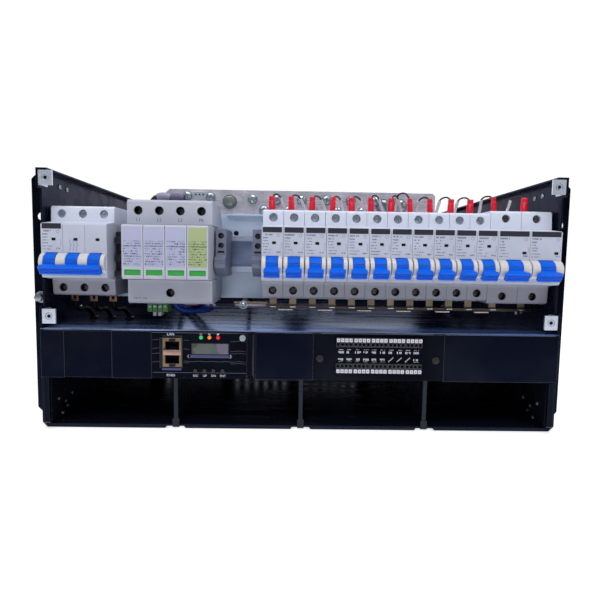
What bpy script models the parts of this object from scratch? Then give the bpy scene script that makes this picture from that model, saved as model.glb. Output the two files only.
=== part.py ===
"""Five-unit 19 inch DC power distribution subrack, with its top and front covers taken off.

A folded steel tray holds four empty rectifier bays, a fascia with a plug-in monitoring unit and a
signal panel, and above them a DIN rail with the AC input breaker, the surge protector and thirteen
DC output breakers. X runs to the right seen from the front, the front faces -Y and Z is up.
The origin is in the middle of the tray's underside. Sizes below are in millimetres.
"""

import math

import bmesh
import bpy
from mathutils import Matrix, Vector

MM = 0.001
GAP = 0.3

# The tray: a five-unit rack case folded from sheet.
UNIT_PITCH = 44.45
UNITS = 5
HEIGHT = UNITS * UNIT_PITCH - 1.25
WIDTH = 442.0
DEPTH = 330.0
SHEET = 1.5
HALF = WIDTH / 2
INNER = HALF - SHEET
LINER = INNER - GAP
TOP_FLANGE = 9.0
FLOOR_SETBACK = 7.0
FRONT_LIP = 3.0
REAR_WINDOW = (188.0, 68.0)
REAR_WINDOW_X = 104.0
REAR_WINDOW_Z = 160.0
COVER_STEP = 6.0
COVER_STEP_Z = (106.0, 205.0)

# The four rectifier bays under the fascia.
BAYS = 4
BAY_PITCH = 2 * LINER / BAYS
BAY_TOP = 45.5
BAY_FRONT = 9.3
BAY_DEPTH = 285.0
DIVIDER = 1.5

# The fascia and the shelf behind it.
FASCIA_LOW = 46.0
FASCIA_HIGH = 87.7
SHELF_TOP = 88.0
INSERT_LOW = 46.3
INSERT_HIGH = 85.9
FILLER_X = (-201.0, -161.6)
CONTROLLER_X = (-127.6, -39.6)
SIGNAL_X = (10.0, 121.8)

# Rack ears: steel angles set back from the front, with obround fixing holes.
EAR_SETBACK = 30.0
EAR_REACH = 241.3
EAR_THICK = 2.0
EAR_LEG = 65.0
EAR_Z = (3.0, 220.0)
EAR_CORNERS = (8.0, 4.5)
EAR_HOLE_X = 232.55
EAR_HOLE_Z = (37.7, 183.8)
EAR_HOLE = (10.0, 6.8)

# The brackets that hold the front cover: the lower edge of each pair, and their tapped holes.
BRACKET_WIDTH = 11.3
BRACKET_HEIGHT = 12.4
BRACKET_LOW = {"upper": 206.8, "lower": 92.0}
BRACKET_TAP = 3.3

# DIN rail devices: depths run forward from the rail's front face, heights from its centre line.
RAIL_Y = 59.0
RAIL_Z = 153.5
RAIL_HALF = 17.5
NOSE_DEPTH = 62.0
NOSE_HALF = 22.5
SHOULDER_DEPTH = 44.5
HINGE_DEPTH = 60.0
HINGE_DROP = -10.0
CHEEK_R = 8.0
DRUM_R = 8.1
SLOT_R = 8.5
LEVER_REACH = 13.5
LEVER_OFF_ANGLE = math.radians(-30.0)
POLE = 18.0
WIDE_POLE = 27.0
ROW_START = -35.2
NARROW_BREAKERS = 11
WIDE_BREAKERS = 2
AC_CENTRE = -189.6
SPD_CENTRE = -113.9
SPD_HALF = 44.2
SPD_PITCH = 17.8
SPD_FLOOR = 20.0
SPD_FACE = 66.0

# The monitoring unit's own front.
JACK_X = (-118.0, -102.3)
JACK_Z = (56.4, 81.0)
PORT_LOW = (58.9, 70.8)
LCD_X = (-94.5, -62.3)
LCD_Z = (67.4, 76.5)
LED_X = (-85.8, -78.7, -71.4)
LED_Z = 81.8
BUTTON_X = {"esc": -90.4, "up": -82.6, "down": -75.1, "enter": -67.2}
BUTTON_Z = 53.3
STRAP_X = (-46.2, -41.8)
THUMB_X = -50.0
THUMB_Z = 82.8

# The signal panel's two rows of push-in terminals.
HEADER_X = (29.1, 102.4)
HEADER_UPPER_Z = (75.6, 83.5)
HEADER_LOWER_Z = (53.0, 61.4)
PIN_PITCH = 3.5
PINS_PER_GROUP = 4
PIN_GROUPS = 5

FINISHES = {
    "black_paint": ((0.012, 0.014, 0.022), 0.35, 0.0),
    "zinc": ((0.42, 0.47, 0.54), 0.35, 1.0),
    "nickel": ((0.66, 0.68, 0.72), 0.25, 1.0),
    "tinned_copper": ((0.60, 0.58, 0.56), 0.30, 1.0),
    "breaker_shell": ((0.62, 0.63, 0.68), 0.40, 0.0),
    "toggle_blue": ((0.01, 0.13, 0.80), 0.35, 0.0),
    "surge_shell": ((0.54, 0.58, 0.70), 0.45, 0.0),
    "clamp_grey": ((0.20, 0.20, 0.23), 0.50, 0.0),
    "unit_black": ((0.014, 0.015, 0.024), 0.50, 0.0),
    "lcd_glass": ((0.35, 0.40, 0.32), 0.10, 0.0),
    "jack_shield": ((0.52, 0.46, 0.36), 0.30, 1.0),
    "button_black": ((0.01, 0.01, 0.012), 0.40, 0.0),
    "header_black": ((0.02, 0.02, 0.022), 0.50, 0.0),
    "board_green": ((0.02, 0.12, 0.05), 0.50, 0.0),
}


def clear_scene():
    for old in list(bpy.data.objects):
        bpy.data.objects.remove(old, do_unlink=True)


def material(finish):
    """The named finish's material, made the first time that it is asked for."""
    if finish in bpy.data.materials:
        return bpy.data.materials[finish]
    colour, roughness, metallic = FINISHES[finish]
    made = bpy.data.materials.new(finish)
    made.use_nodes = True
    shader = made.node_tree.nodes["Principled BSDF"]
    shader.inputs["Base Color"].default_value = (*colour, 1.0)
    shader.inputs["Roughness"].default_value = roughness
    shader.inputs["Metallic"].default_value = metallic
    return made


def behind(distance):
    """The Y of a plane this far behind the tray's front edge."""
    return distance - DEPTH / 2


def prism(outline, axis, low, high):
    """A flat outline drawn from low to high along an axis.

    The outline's points are (y, z) along X, (x, z) along Y and (x, y) along Z.
    """
    place = {
        "X": lambda a, b: (low, a, b),
        "Y": lambda a, b: (a, low, b),
        "Z": lambda a, b: (a, b, low),
    }[axis]
    direction = {"X": (1, 0, 0), "Y": (0, 1, 0), "Z": (0, 0, 1)}[axis]
    shape = bmesh.new()
    face = shape.faces.new([shape.verts.new(place(a, b)) for a, b in outline])
    grown = bmesh.ops.extrude_face_region(shape, geom=[face])
    moved = [item for item in grown["geom"] if isinstance(item, bmesh.types.BMVert)]
    bmesh.ops.translate(shape, verts=moved, vec=Vector(direction) * (high - low))
    bmesh.ops.recalc_face_normals(shape, faces=shape.faces)
    return shape


def box(x, y, z):
    """A block between the two ends of each pair."""
    return prism([(x[0], y[0]), (x[1], y[0]), (x[1], y[1]), (x[0], y[1])], "Z", z[0], z[1])


def circle(centre, radius, sides=20):
    turns = [2 * math.pi * (step + 0.5) / sides for step in range(sides)]
    return [(centre[0] + radius * math.cos(turn), centre[1] + radius * math.sin(turn)) for turn in turns]


def cylinder(centre, radius, axis, low, high, sides=20):
    return prism(circle(centre, radius, sides), axis, low, high)


def obround(centre, length, width, steps=6):
    """The outline of a slot with round ends, its length along the outline's first axis."""
    radius = width / 2
    reach = length / 2 - radius
    points = []
    for end in (1, -1):
        for step in range(steps + 1):
            turn = math.pi * (step / steps - 0.5) + (0 if end > 0 else math.pi)
            across = centre[0] + end * reach + radius * math.cos(turn)
            points.append((across, centre[1] + radius * math.sin(turn)))
    return points


def flipped(outline):
    """The outline mirrored across its second axis."""
    return [(-a, b) for a, b in outline]


def together(shapes):
    """Several separate shapes as one mesh."""
    joined = bmesh.new()
    for shape in shapes:
        spare = bpy.data.meshes.new("spare")
        shape.to_mesh(spare)
        joined.from_mesh(spare)
        shape.free()
        bpy.data.meshes.remove(spare)
    return joined


def as_object(name, shape, origin, finish=None):
    """The shape, in millimetres, as an object in metres whose origin is at the point given."""
    bmesh.ops.translate(shape, verts=shape.verts, vec=-Vector(origin))
    bmesh.ops.scale(shape, verts=shape.verts, vec=(MM, MM, MM))
    mesh = bpy.data.meshes.new(name)
    shape.to_mesh(mesh)
    shape.free()
    made = bpy.data.objects.new(name, mesh)
    made.location = Vector(origin) * MM
    if finish:
        mesh.materials.append(material(finish))
    mesh.shade_smooth()
    mesh.set_sharp_from_angle(angle=math.radians(32))
    bpy.context.scene.collection.objects.link(made)
    return made


def solid(name, finish, base, joins=(), cuts=(), origin=(0, 0, 0)):
    """One closed piece: the base, with each join added to it and then each cut taken out of it."""
    made = as_object(name, base, origin, finish)
    steps = [("UNION", shape) for shape in joins] + [("DIFFERENCE", shape) for shape in cuts]
    for number, (operation, shape) in enumerate(steps):
        helper = as_object(f"{name}_tool_{number}", shape, origin)
        helper.hide_render = True
        helper.display_type = "WIRE"
        modifier = made.modifiers.new(f"{operation.lower()}_{number}", "BOOLEAN")
        modifier.operation = operation
        modifier.object = helper
    return made


def finished_mesh(made):
    """The piece's mesh with its modifiers applied. The piece and its helpers are removed."""
    graph = bpy.context.evaluated_depsgraph_get()
    mesh = bpy.data.meshes.new_from_object(made.evaluated_get(graph))
    helpers = [modifier.object for modifier in made.modifiers]
    for old in [*helpers, made]:
        bpy.data.objects.remove(old, do_unlink=True)
    return mesh


def copies(template, places):
    """Copies of a finished piece that share its mesh: places maps each name to its location."""
    mesh = finished_mesh(template)
    made = {}
    for name, location in places.items():
        made[name] = bpy.data.objects.new(name, mesh)
        made[name].location = Vector(location) * MM
        bpy.context.scene.collection.objects.link(made[name])
    return made


def divider_places():
    return [BAY_PITCH * (number - BAYS / 2) for number in range(1, BAYS)]


def bay_centres():
    return [BAY_PITCH * (number + 0.5 - BAYS / 2) for number in range(BAYS)]


def make_tray():
    """Floor, side walls with inward top and front flanges, and a rear wall with windows and vents.

    The floor stops short of the front, with a low lip. The walls' front edges are chamfered at
    their feet, notched for the fascia and stepped back for the cover between its brackets.
    """
    flange = HALF - TOP_FLANGE
    under = HEIGHT - SHEET
    half_section = [(HALF, 0), (HALF, HEIGHT), (flange, HEIGHT), (flange, under)]
    half_section += [(INNER, under), (INNER, SHEET)]
    section = half_section + flipped(half_section)[::-1]
    skin = 0.8
    reach = HALF - skin
    rear = box((-reach, reach), (behind(DEPTH - 1.8), behind(DEPTH - 0.3)), (skin, HEIGHT - skin))
    lip = box((-reach, reach), (behind(FLOOR_SETBACK + 0.2), behind(FLOOR_SETBACK + 1.7)), (skin, FRONT_LIP))
    fronts = [
        box(sorted((side * (INNER - 4.5), side * reach)), (behind(0.2), behind(1.7)), (SHEET, FASCIA_LOW - 1))
        for side in (-1, 1)
    ]
    floor_front = box((-INNER - 0.4, INNER + 0.4), (behind(-1), behind(FLOOR_SETBACK)), (-1, SHEET + 0.5))
    chamfer = FLOOR_SETBACK + 1
    feet = prism([(behind(-1), -1), (behind(chamfer), -1), (behind(-1), chamfer)], "X", -HALF - 1, HALF + 1)
    seat = (FASCIA_LOW - GAP, FASCIA_HIGH + GAP)
    fascia_seat = box((-HALF - 1, HALF + 1), (behind(-1), behind(SHEET + GAP)), seat)
    cover_step = box((-HALF - 1, HALF + 1), (behind(-1), behind(COVER_STEP)), COVER_STEP_Z)
    notch = [(-9, -1), (9, -1), (9, 0), (6, 3.4), (-6, 3.4), (-9, 0)]
    notches = [
        prism([(x + a, b) for a, b in notch], "Y", behind(FLOOR_SETBACK - 1), behind(BAY_FRONT + 2.5))
        for x in divider_places()
    ]
    vents = [
        box((x - 2, x + 2), (behind(DEPTH - 4), behind(DEPTH + 1)), (12, 62))
        for centre in bay_centres()
        for x in (centre - 37.5, centre - 22.5, centre - 7.5, centre + 7.5, centre + 22.5, centre + 37.5)
    ]
    windows = []
    for side in (-1, 1):
        outline = obround((side * REAR_WINDOW_X, REAR_WINDOW_Z), *REAR_WINDOW)
        windows.append(prism(outline, "Y", behind(DEPTH - 4), behind(DEPTH + 1)))
    base = prism(section, "Y", behind(0), behind(DEPTH))
    cuts = [floor_front, feet, fascia_seat, cover_step, together(notches), together(vents + windows)]
    solid("chassis_tray", "black_paint", base, [rear, lip, *fronts], cuts)


def make_bay_frame():
    """The bays' ceiling with two side legs and three dividers under it, each with a hemmed front edge."""
    low = SHEET + GAP
    roof = BAY_TOP - SHEET
    section = [(-LINER, BAY_TOP), (-LINER, low), (-LINER + 1.2, low), (-LINER + 1.2, roof)]
    for x in divider_places():
        left = x - DIVIDER / 2
        right = x + DIVIDER / 2
        section += [(left, roof), (left, low), (right, low), (right, roof)]
    section += [(LINER - 1.2, roof), (LINER - 1.2, low), (LINER, low), (LINER, BAY_TOP)]
    hems = [
        box((x - 1.75, x + 1.75), (behind(BAY_FRONT - 0.4), behind(BAY_FRONT + 2)), (3, roof + 0.4))
        for x in divider_places()
    ]
    feet = [
        box((x - 2.9, x + 2.9), (behind(BAY_FRONT - 0.8), behind(BAY_FRONT + 1.4)), (0.3, 8))
        for x in divider_places()
    ]
    slots = [
        prism(obround((centre, behind(170)), 56, 8, 4), "Z", roof - 1, BAY_TOP + 1)
        for centre in bay_centres()
    ]
    base = prism(section, "Y", behind(BAY_FRONT), behind(BAY_DEPTH))
    solid("bay_frame", "black_paint", base, [together(hems), together(feet)], [together(slots)])


def make_fascia():
    """The shelf under the breakers, with its folded sides, and the fascia hanging from its front edge."""
    inside = LINER - SHEET
    half_section = [(LINER, SHELF_TOP), (LINER, 70), (inside, 70), (inside, SHELF_TOP - SHEET)]
    section = half_section + flipped(half_section)[::-1]
    front = box((-HALF, HALF), (behind(0), behind(SHEET)), (FASCIA_LOW, FASCIA_HIGH))
    windows = [
        box((left - GAP, right + GAP), (behind(-1), behind(8)), (FASCIA_LOW - 1, INSERT_HIGH + GAP))
        for left, right in (FILLER_X, CONTROLLER_X, SIGNAL_X)
    ]
    base = prism(section, "Y", behind(0.8), behind(BAY_DEPTH))
    solid("fascia_shelf", "black_paint", base, [front], [together(windows)])


def make_ears():
    for side, name in ((-1, "rack_ear_left"), (1, "rack_ear_right")):
        inner = HALF + GAP
        front = behind(EAR_SETBACK)
        section = [
            (inner, front),
            (EAR_REACH, front),
            (EAR_REACH, front + EAR_THICK),
            (inner + EAR_THICK, front + EAR_THICK),
            (inner + EAR_THICK, front + EAR_LEG),
            (inner, front + EAR_LEG),
        ]
        low, high = EAR_Z
        corners = [
            [(EAR_REACH - cut, end - way), (EAR_REACH + 1, end - way), (EAR_REACH + 1, end + cut * way)]
            for end, way, cut in ((low, 1, EAR_CORNERS[0]), (high, -1, EAR_CORNERS[1]))
        ]
        holes = [obround((EAR_HOLE_X, z), *EAR_HOLE) for z in EAR_HOLE_Z]
        outlines = holes + corners
        if side < 0:
            section = flipped(section)
            outlines = [flipped(outline) for outline in outlines]
        cutters = [prism(outline, "Y", front - 1, front + EAR_THICK + 1) for outline in outlines]
        solid(name, "black_paint", prism(section, "Z", low, high), cuts=[together(cutters)])


def make_cover_brackets():
    """Four small angles that the front cover is screwed to, each with a pressed and tapped collar."""
    inner = LINER - BRACKET_WIDTH
    front = behind(GAP)
    for side, side_name in ((-1, "left"), (1, "right")):
        for level, low in BRACKET_LOW.items():
            section = [
                (inner, front),
                (LINER, front),
                (LINER, front + 12),
                (LINER - SHEET, front + 12),
                (LINER - SHEET, front + SHEET),
                (inner, front + SHEET),
            ]
            centre = (side * (LINER - 5.7), low + BRACKET_HEIGHT / 2)
            section = section if side > 0 else flipped(section)
            collar = cylinder(centre, 3.0, "Y", front + 0.6, front + 4, 16)
            hole = cylinder(centre, BRACKET_TAP / 2, "Y", front - 1, front + 5, 16)
            base = prism(section, "Z", low, low + BRACKET_HEIGHT)
            solid(f"cover_bracket_{level}_{side_name}", "nickel", base, [collar], [hole])


def make_backplane():
    """The board at the back of the bays, with one blind-mating power connector to each bay."""
    base = box((-217, 217), (behind(290), behind(292)), (3, 33))
    connectors = [box((x - 20, x + 20), (behind(279), behind(290.5)), (12, 29)) for x in bay_centres()]
    mouths = [
        box((x - 17 + 6 * blade, x - 13.5 + 6 * blade), (behind(278), behind(287)), (15, 26))
        for x in bay_centres()
        for blade in range(6)
    ]
    solid("rectifier_backplane", "board_green", base, [together(connectors)], [together(mouths)])


def make_mounting_plate():
    """The zinc plate across the tray that carries the rail, with folded ends and a folded top lip."""
    front = behind(RAIL_Y + 7.8)
    back = front + 2
    section = [
        (-LINER, front),
        (LINER, front),
        (LINER, front + 17),
        (LINER - 2, front + 17),
        (LINER - 2, back),
        (2 - LINER, back),
        (2 - LINER, front + 17),
        (-LINER, front + 17),
    ]
    lip = box((-73, 212), (front - 5, front + 0.8), (190.3, 191.8))
    hole = cylinder((-64.5, 173.5), 2.6, "Y", front - 1, back + 1, 16)
    solid("mounting_plate", "zinc", prism(section, "Z", 110, 192), [lip], [hole])


def make_din_rail():
    front = behind(RAIL_Y)
    profile = [(0, RAIL_HALF), (0, 12.5), (6.5, 12.5), (6.5, -12.5), (0, -12.5), (0, -RAIL_HALF)]
    profile += [(1, -RAIL_HALF), (1, -13.5), (7.5, -13.5), (7.5, 13.5), (1, 13.5), (1, RAIL_HALF)]
    section = [(front + depth, RAIL_Z + rise) for depth, rise in profile]
    slots = [
        prism(obround((-184 + 36 * number, RAIL_Z), 15, 6.2, 3), "Y", front + 5, front + 9)
        for number in range(11)
    ]
    solid("din_rail", "zinc", prism(section, "X", -216, 218.6), cuts=[together(slots)])


def rail_section(points):
    """Points (forward of the rail, above its centre line) as (y, z) in the tray."""
    return [(behind(RAIL_Y - forward), RAIL_Z + rise) for forward, rise in points]


def rail_foot(rise):
    """The back of every rail device: two feet reaching over the rail's edges, top to bottom."""
    hook = RAIL_HALF + 0.7
    return [(-4.5, rise), (-4.5, hook), (GAP, hook), (GAP, -hook), (-4.5, -hook), (-4.5, -rise)]


def make_end_clamps():
    profile = rail_foot(20.0) + [(2, -20.6), (29, -20.6), (45, -12.5), (45, -5)]
    profile += [(38, -2), (38, 21.3), (2, 21.3)]
    width = 9.2
    for name, left in (("end_clamp_left", -77.0), ("end_clamp_right", -44.6)):
        middle = left + width / 2
        wells = [
            cylinder((middle, RAIL_Z + rise), 2.7, "Y", behind(RAIL_Y - 39), behind(RAIL_Y - 30), 14)
            for rise in (15.3, 6.8)
        ]
        rib_y = (behind(RAIL_Y - 46), behind(RAIL_Y - 44.4))
        ribs = [
            box((left - 1, left + width + 1), rib_y, (z - 0.4, z + 0.4))
            for z in (RAIL_Z - 6.6, RAIL_Z - 8.6)
        ]
        base = prism(rail_section(profile), "X", left, left + width)
        solid(name, "clamp_grey", base, cuts=[together(wells), together(ribs)])


def breaker_body(name, width, poles, half_height, slot_width):
    """A breaker's shell, centred on X = 0, with a lever slot between two round cheeks at each pole."""
    pitch = width / poles
    half_shell = (width - GAP) / 2
    top = half_height
    profile = rail_foot(26) + [(4, -top), (43, -top), (SHOULDER_DEPTH, 1.5 - top), (45.5, -24.5)]
    profile += [(60.6, -NOSE_HALF), (NOSE_DEPTH, 1.4 - NOSE_HALF), (NOSE_DEPTH, NOSE_HALF - 1.4)]
    profile += [(60.6, NOSE_HALF), (45.5, 24.5), (SHOULDER_DEPTH, top - 1.5), (43, top), (4, top)]
    hinge = rail_section([(HINGE_DEPTH, HINGE_DROP)])[0]
    cheeks = cylinder(hinge, CHEEK_R, "X", 0.4 - half_shell, half_shell - 0.4, 22)
    slots = []
    wells = []
    pockets = []
    for number in range(poles):
        x = pitch * (number + 0.5 - poles / 2)
        slots.append(cylinder(hinge, SLOT_R, "X", x - slot_width / 2, x + slot_width / 2, 22))
        status = (RAIL_Z + 8, RAIL_Z + 10.4)
        slots.append(box((x - 0.3, x + 3.1), (behind(RAIL_Y - 63), behind(RAIL_Y - 61.4)), status))
        for side in (-1, 1):
            well_z = RAIL_Z + side * (top - 6.6)
            wells.append(cylinder((x, well_z), 3.7, "Y", behind(RAIL_Y - 47), behind(RAIL_Y - 37), 12))
            pocket_z = sorted((RAIL_Z + side * (top + 1), RAIL_Z + side * (top - 10.8)))
            pockets.append(box((x - 4.4, x + 4.4), (behind(RAIL_Y - 30), behind(RAIL_Y - 21)), pocket_z))
    base = prism(rail_section(profile), "X", -half_shell, half_shell)
    return solid(name, "breaker_shell", base, [cheeks], [together(slots), together(wells), together(pockets)])


def breaker_lever(name, stems, slot_width, flare):
    """A lever hinged at its drums, made on the origin and turned down to its off position.

    stems are the X places of the drums, and flare is how far the tip bar reaches past them.
    """
    half_stem = slot_width / 2 - 0.4
    low = stems[0]
    high = stems[-1]
    bar = [
        (low - half_stem, -7.2),
        (low - half_stem, -8.6),
        (low - flare, -10.2),
        (low - flare, 1 - LEVER_REACH),
        (low - flare + 1, -LEVER_REACH),
        (high + flare - 1, -LEVER_REACH),
        (high + flare, 1 - LEVER_REACH),
        (high + flare, -10.2),
        (high + half_stem, -8.6),
        (high + half_stem, -7.2),
    ]
    if len(stems) > 1:
        bar = [(low - flare, -9.2)] + bar[3:7] + [(high + flare, -9.2)]
    base = prism(bar, "Z", -3.3, 3.3)
    joins = [cylinder((0, 0), DRUM_R, "X", x - half_stem, x + half_stem, 24) for x in stems]
    if len(stems) > 1:
        joins += [box((x - half_stem, x + half_stem), (-10, -6), (-2.7, 2.7)) for x in stems]
    ends = (low - flare - 1, high + flare + 1)
    groove_y = (-LEVER_REACH - 1, 0.7 - LEVER_REACH)
    thumb_grooves = [box(ends, groove_y, (rise - 0.4, rise + 0.4)) for rise in (-1.4, 0, 1.4)]
    turned = [base, *joins, *thumb_grooves]
    for shape in turned:
        turn = Matrix.Rotation(-LEVER_OFF_ANGLE, 3, "X")
        bmesh.ops.rotate(shape, verts=shape.verts, cent=(0, 0, 0), matrix=turn)
    return solid(name, "toggle_blue", base, joins, [together(thumb_grooves)])


def make_breakers():
    hinge_y, hinge_z = rail_section([(HINGE_DEPTH, HINGE_DROP)])[0]
    widths = [POLE] * NARROW_BREAKERS + [WIDE_POLE] * WIDE_BREAKERS
    narrow = {}
    wide = {}
    edge = ROW_START
    for number, width in enumerate(widths, start=1):
        group = narrow if width == POLE else wide
        group[f"dc_breaker_{number:02d}"] = edge + width / 2
        edge += width
    for group, width, half_height, slot, flare in (
        (narrow, POLE, 38.2, 10.4, 6.6),
        (wide, WIDE_POLE, 40.5, 13.0, 10.0),
    ):
        body = breaker_body("shell", width, 1, half_height, slot)
        copies(body, {f"{name}_body": (x, 0, 0) for name, x in group.items()})
        lever = breaker_lever("lever", [0], slot, flare)
        copies(lever, {f"{name}_handle": (x, hinge_y, hinge_z) for name, x in group.items()})
    body = breaker_body("ac_shell", 3 * POLE, 3, 38.2, 10.4)
    copies(body, {"ac_breaker_body": (AC_CENTRE, 0, 0)})
    lever = breaker_lever("ac_lever", [-POLE, 0, POLE], 10.4, 6.8)
    copies(lever, {"ac_breaker_handle": (AC_CENTRE, hinge_y, hinge_z)})


def module_centres():
    return [SPD_CENTRE + SPD_PITCH * (number - 1.5) for number in range(4)]


def make_surge_protector():
    """The base, open at the front and sides between its two shoulders, and four plug-in modules."""
    profile = rail_foot(28) + [(4, -SPD_HALF), (48, -SPD_HALF), (50, 2 - SPD_HALF), (50, -23.8)]
    profile += [(SPD_FLOOR, -23.8), (SPD_FLOOR, 23.4), (50, 23.4), (50, SPD_HALF - 2)]
    profile += [(48, SPD_HALF), (4, SPD_HALF)]
    terminals = [(x, RAIL_Z + 35) for x in module_centres()] + [(SPD_CENTRE, RAIL_Z - 34.8)]
    wells = [cylinder(place, 3.8, "Y", behind(RAIL_Y - 52), behind(RAIL_Y - 41), 16) for place in terminals]
    mouths = [
        box((x - 3.8, x + 3.8), (behind(RAIL_Y - 23), behind(RAIL_Y - 11)), (z - 1.2, z + 1.2))
        for x in module_centres()
        for z in (RAIL_Z - 14, RAIL_Z + 14)
    ]
    base = prism(rail_section(profile), "X", SPD_CENTRE - 36, SPD_CENTRE + 36)
    solid("spd_base", "surge_shell", base, cuts=[together(wells), together(mouths)])

    face = SPD_FACE
    profile = [(20.3, -23.4), (51, -23.4), (53, -22.6), (64.5, -22.6), (face, -21)]
    profile += [(face, 20.6), (64.5, 22.2), (53, 22.2), (51, 23.0), (20.3, 23.0)]
    blades = [
        box((-3.2, 3.2), (behind(RAIL_Y - 21), behind(RAIL_Y - 12)), (z - 0.7, z + 0.7))
        for z in (RAIL_Z - 14, RAIL_Z + 14)
    ]
    window_z = (RAIL_Z - 19.4, RAIL_Z - 14.8)
    window = box((-6.8, 6.8), (behind(RAIL_Y - 67), behind(RAIL_Y - 65.2)), window_z)
    base = prism(rail_section(profile), "X", -8.65, 8.65)
    module = solid("module", "surge_shell", base, [together(blades)], [window])
    copies(module, {f"spd_module_{number}": (x, 0, 0) for number, x in enumerate(module_centres(), start=1)})


def breaker_centres():
    narrow = [ROW_START + POLE * (number + 0.5) for number in range(NARROW_BREAKERS)]
    wide_start = ROW_START + POLE * NARROW_BREAKERS
    return narrow + [wide_start + WIDE_POLE * (number + 0.5) for number in range(WIDE_BREAKERS)]


def make_busbars():
    """The flat positive bar behind the breakers, and the comb that feeds the breakers' lower terminals."""
    front = behind(RAIL_Y + 10.1)
    outline = [(-137.5, 172), (131, 172), (131, 213), (128, 215.8), (-129.5, 215.8), (-137.5, 209)]
    holes = [cylinder((x, 180), 3.3, "Y", front - 1, front + 5, 12) for x in range(-120, 140, 80)]
    solid("positive_busbar", "tinned_copper", prism(outline, "Y", front, front + 4), cuts=[together(holes)])

    bar_low = 104.0
    bar_high = 106.4
    outline = [(-62, bar_low), (214, bar_low), (214, bar_high)]
    for x in reversed(breaker_centres()):
        outline += [(x + 3.1, bar_high), (x + 3.1, 118.5), (x - 3.1, 118.5), (x - 3.1, bar_high)]
    outline += [(-32, bar_high), (-32, bar_high + 3.2), (-62, bar_high + 3.2)]
    front = behind(RAIL_Y - 26.5)
    hole = cylinder((-53.3, 106.8), 1.6, "Y", front - 1, front + 3, 12)
    solid("negative_busbar", "tinned_copper", prism(outline, "Y", front, front + 2), cuts=[hole])


def make_controller():
    """The plug-in monitoring unit: its case, display, network sockets, four keys and captive screw."""
    left, right = CONTROLLER_X
    face = box((left, right), (behind(0), behind(SHEET)), (INSERT_LOW, INSERT_HIGH))
    case = box((left + 2, right - 2), (behind(1), behind(158)), (46, 85.4))
    strap = box(STRAP_X, (behind(-6.5), behind(-5)), (51, 83))
    legs = [box(STRAP_X, (behind(-5.8), behind(0.6)), ends) for ends in ((51, 52.6), (81.4, 83))]
    jack_z = (JACK_Z[0] - GAP, JACK_Z[1] + GAP)
    lcd_z = (LCD_Z[0] - GAP, LCD_Z[1] + GAP)
    sockets = box((JACK_X[0] - GAP, JACK_X[1] + GAP), (behind(-1), behind(19)), jack_z)
    display = box((LCD_X[0] - GAP, LCD_X[1] + GAP), (behind(-1), behind(4)), lcd_z)
    lamps = [cylinder((x, LED_Z), 1.8, "Y", behind(-1), behind(3), 14) for x in LED_X]
    key_holes = [cylinder((x, BUTTON_Z), 1.8, "Y", behind(-1), behind(2), 14) for x in BUTTON_X.values()]
    key_rooms = [cylinder((x, BUTTON_Z), 2.8, "Y", behind(1.8), behind(7), 14) for x in BUTTON_X.values()]
    thread = cylinder((THUMB_X, THUMB_Z), 1.8, "Y", behind(-1), behind(11), 14)
    openings = together([sockets, display, *lamps, *key_holes, thread])
    joins = [case, strap, together(legs)]
    solid("controller_case", "unit_black", face, joins, [openings, together(key_rooms)])

    lcd = [(LCD_X[0], behind(3.7)), (LCD_X[0], behind(0.8)), (LCD_X[0] + 0.6, behind(0.2))]
    lcd += [(LCD_X[1] - 0.6, behind(0.2)), (LCD_X[1], behind(0.8)), (LCD_X[1], behind(3.7))]
    solid("controller_lcd", "lcd_glass", prism(lcd, "Z", *LCD_Z))

    middle = (JACK_X[0] + JACK_X[1]) / 2
    ports = []
    for low, way in zip(PORT_LOW, (-1, 1)):
        high = low + 7.6
        near, far = (high, low) if way > 0 else (low, high)
        tab = near + way * 1.5
        port = [(middle - 6.1, far), (middle + 6.1, far), (middle + 6.1, near), (middle + 3, near)]
        port += [(middle + 3, tab), (middle - 3, tab), (middle - 3, near), (middle - 6.1, near)]
        ports.append(prism(port, "Y", behind(-2), behind(13)))
    shield = box(JACK_X, (behind(-0.8), behind(18.7)), JACK_Z)
    solid("controller_jack", "jack_shield", shield, cuts=[together(ports)])

    for key, x in BUTTON_X.items():
        head = cylinder((x, BUTTON_Z), 1.5, "Y", behind(-1.6), behind(2.8), 16)
        flange = cylinder((x, BUTTON_Z), 2.3, "Y", behind(2.2), behind(3.4), 16)
        solid(f"button_{key}", "button_black", head, [flange], origin=(x, behind(0), BUTTON_Z))

    rim = []
    for step in range(28):
        turn = 2 * math.pi * step / 28
        radius = 2.75 if step % 2 else 2.5
        rim.append((THUMB_X + radius * math.cos(turn), THUMB_Z + radius * math.sin(turn)))
    head = prism(rim, "Y", behind(-6.5), behind(-1.2))
    collar = cylinder((THUMB_X, THUMB_Z), 2.1, "Y", behind(-1.5), behind(-GAP), 16)
    shank = cylinder((THUMB_X, THUMB_Z), 1.4, "Y", behind(-1), behind(10), 16)
    blade = box((THUMB_X - 4, THUMB_X + 4), (behind(-8), behind(-5.6)), (THUMB_Z - 0.3, THUMB_Z + 0.3))
    origin = (THUMB_X, behind(0), THUMB_Z)
    solid("controller_thumbscrew", "nickel", head, [collar, shank], [blade], origin)


def pin_places():
    """X of each push-in terminal: groups of four at one pitch, with the spare length between groups."""
    pins = PINS_PER_GROUP * PIN_GROUPS
    spare = (HEADER_X[1] - HEADER_X[0] - pins * PIN_PITCH) / (PIN_GROUPS - 1)
    return [
        HEADER_X[0] + PIN_PITCH * (pin + 0.5) + spare * (pin // PINS_PER_GROUP) for pin in range(pins)
    ]


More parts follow.
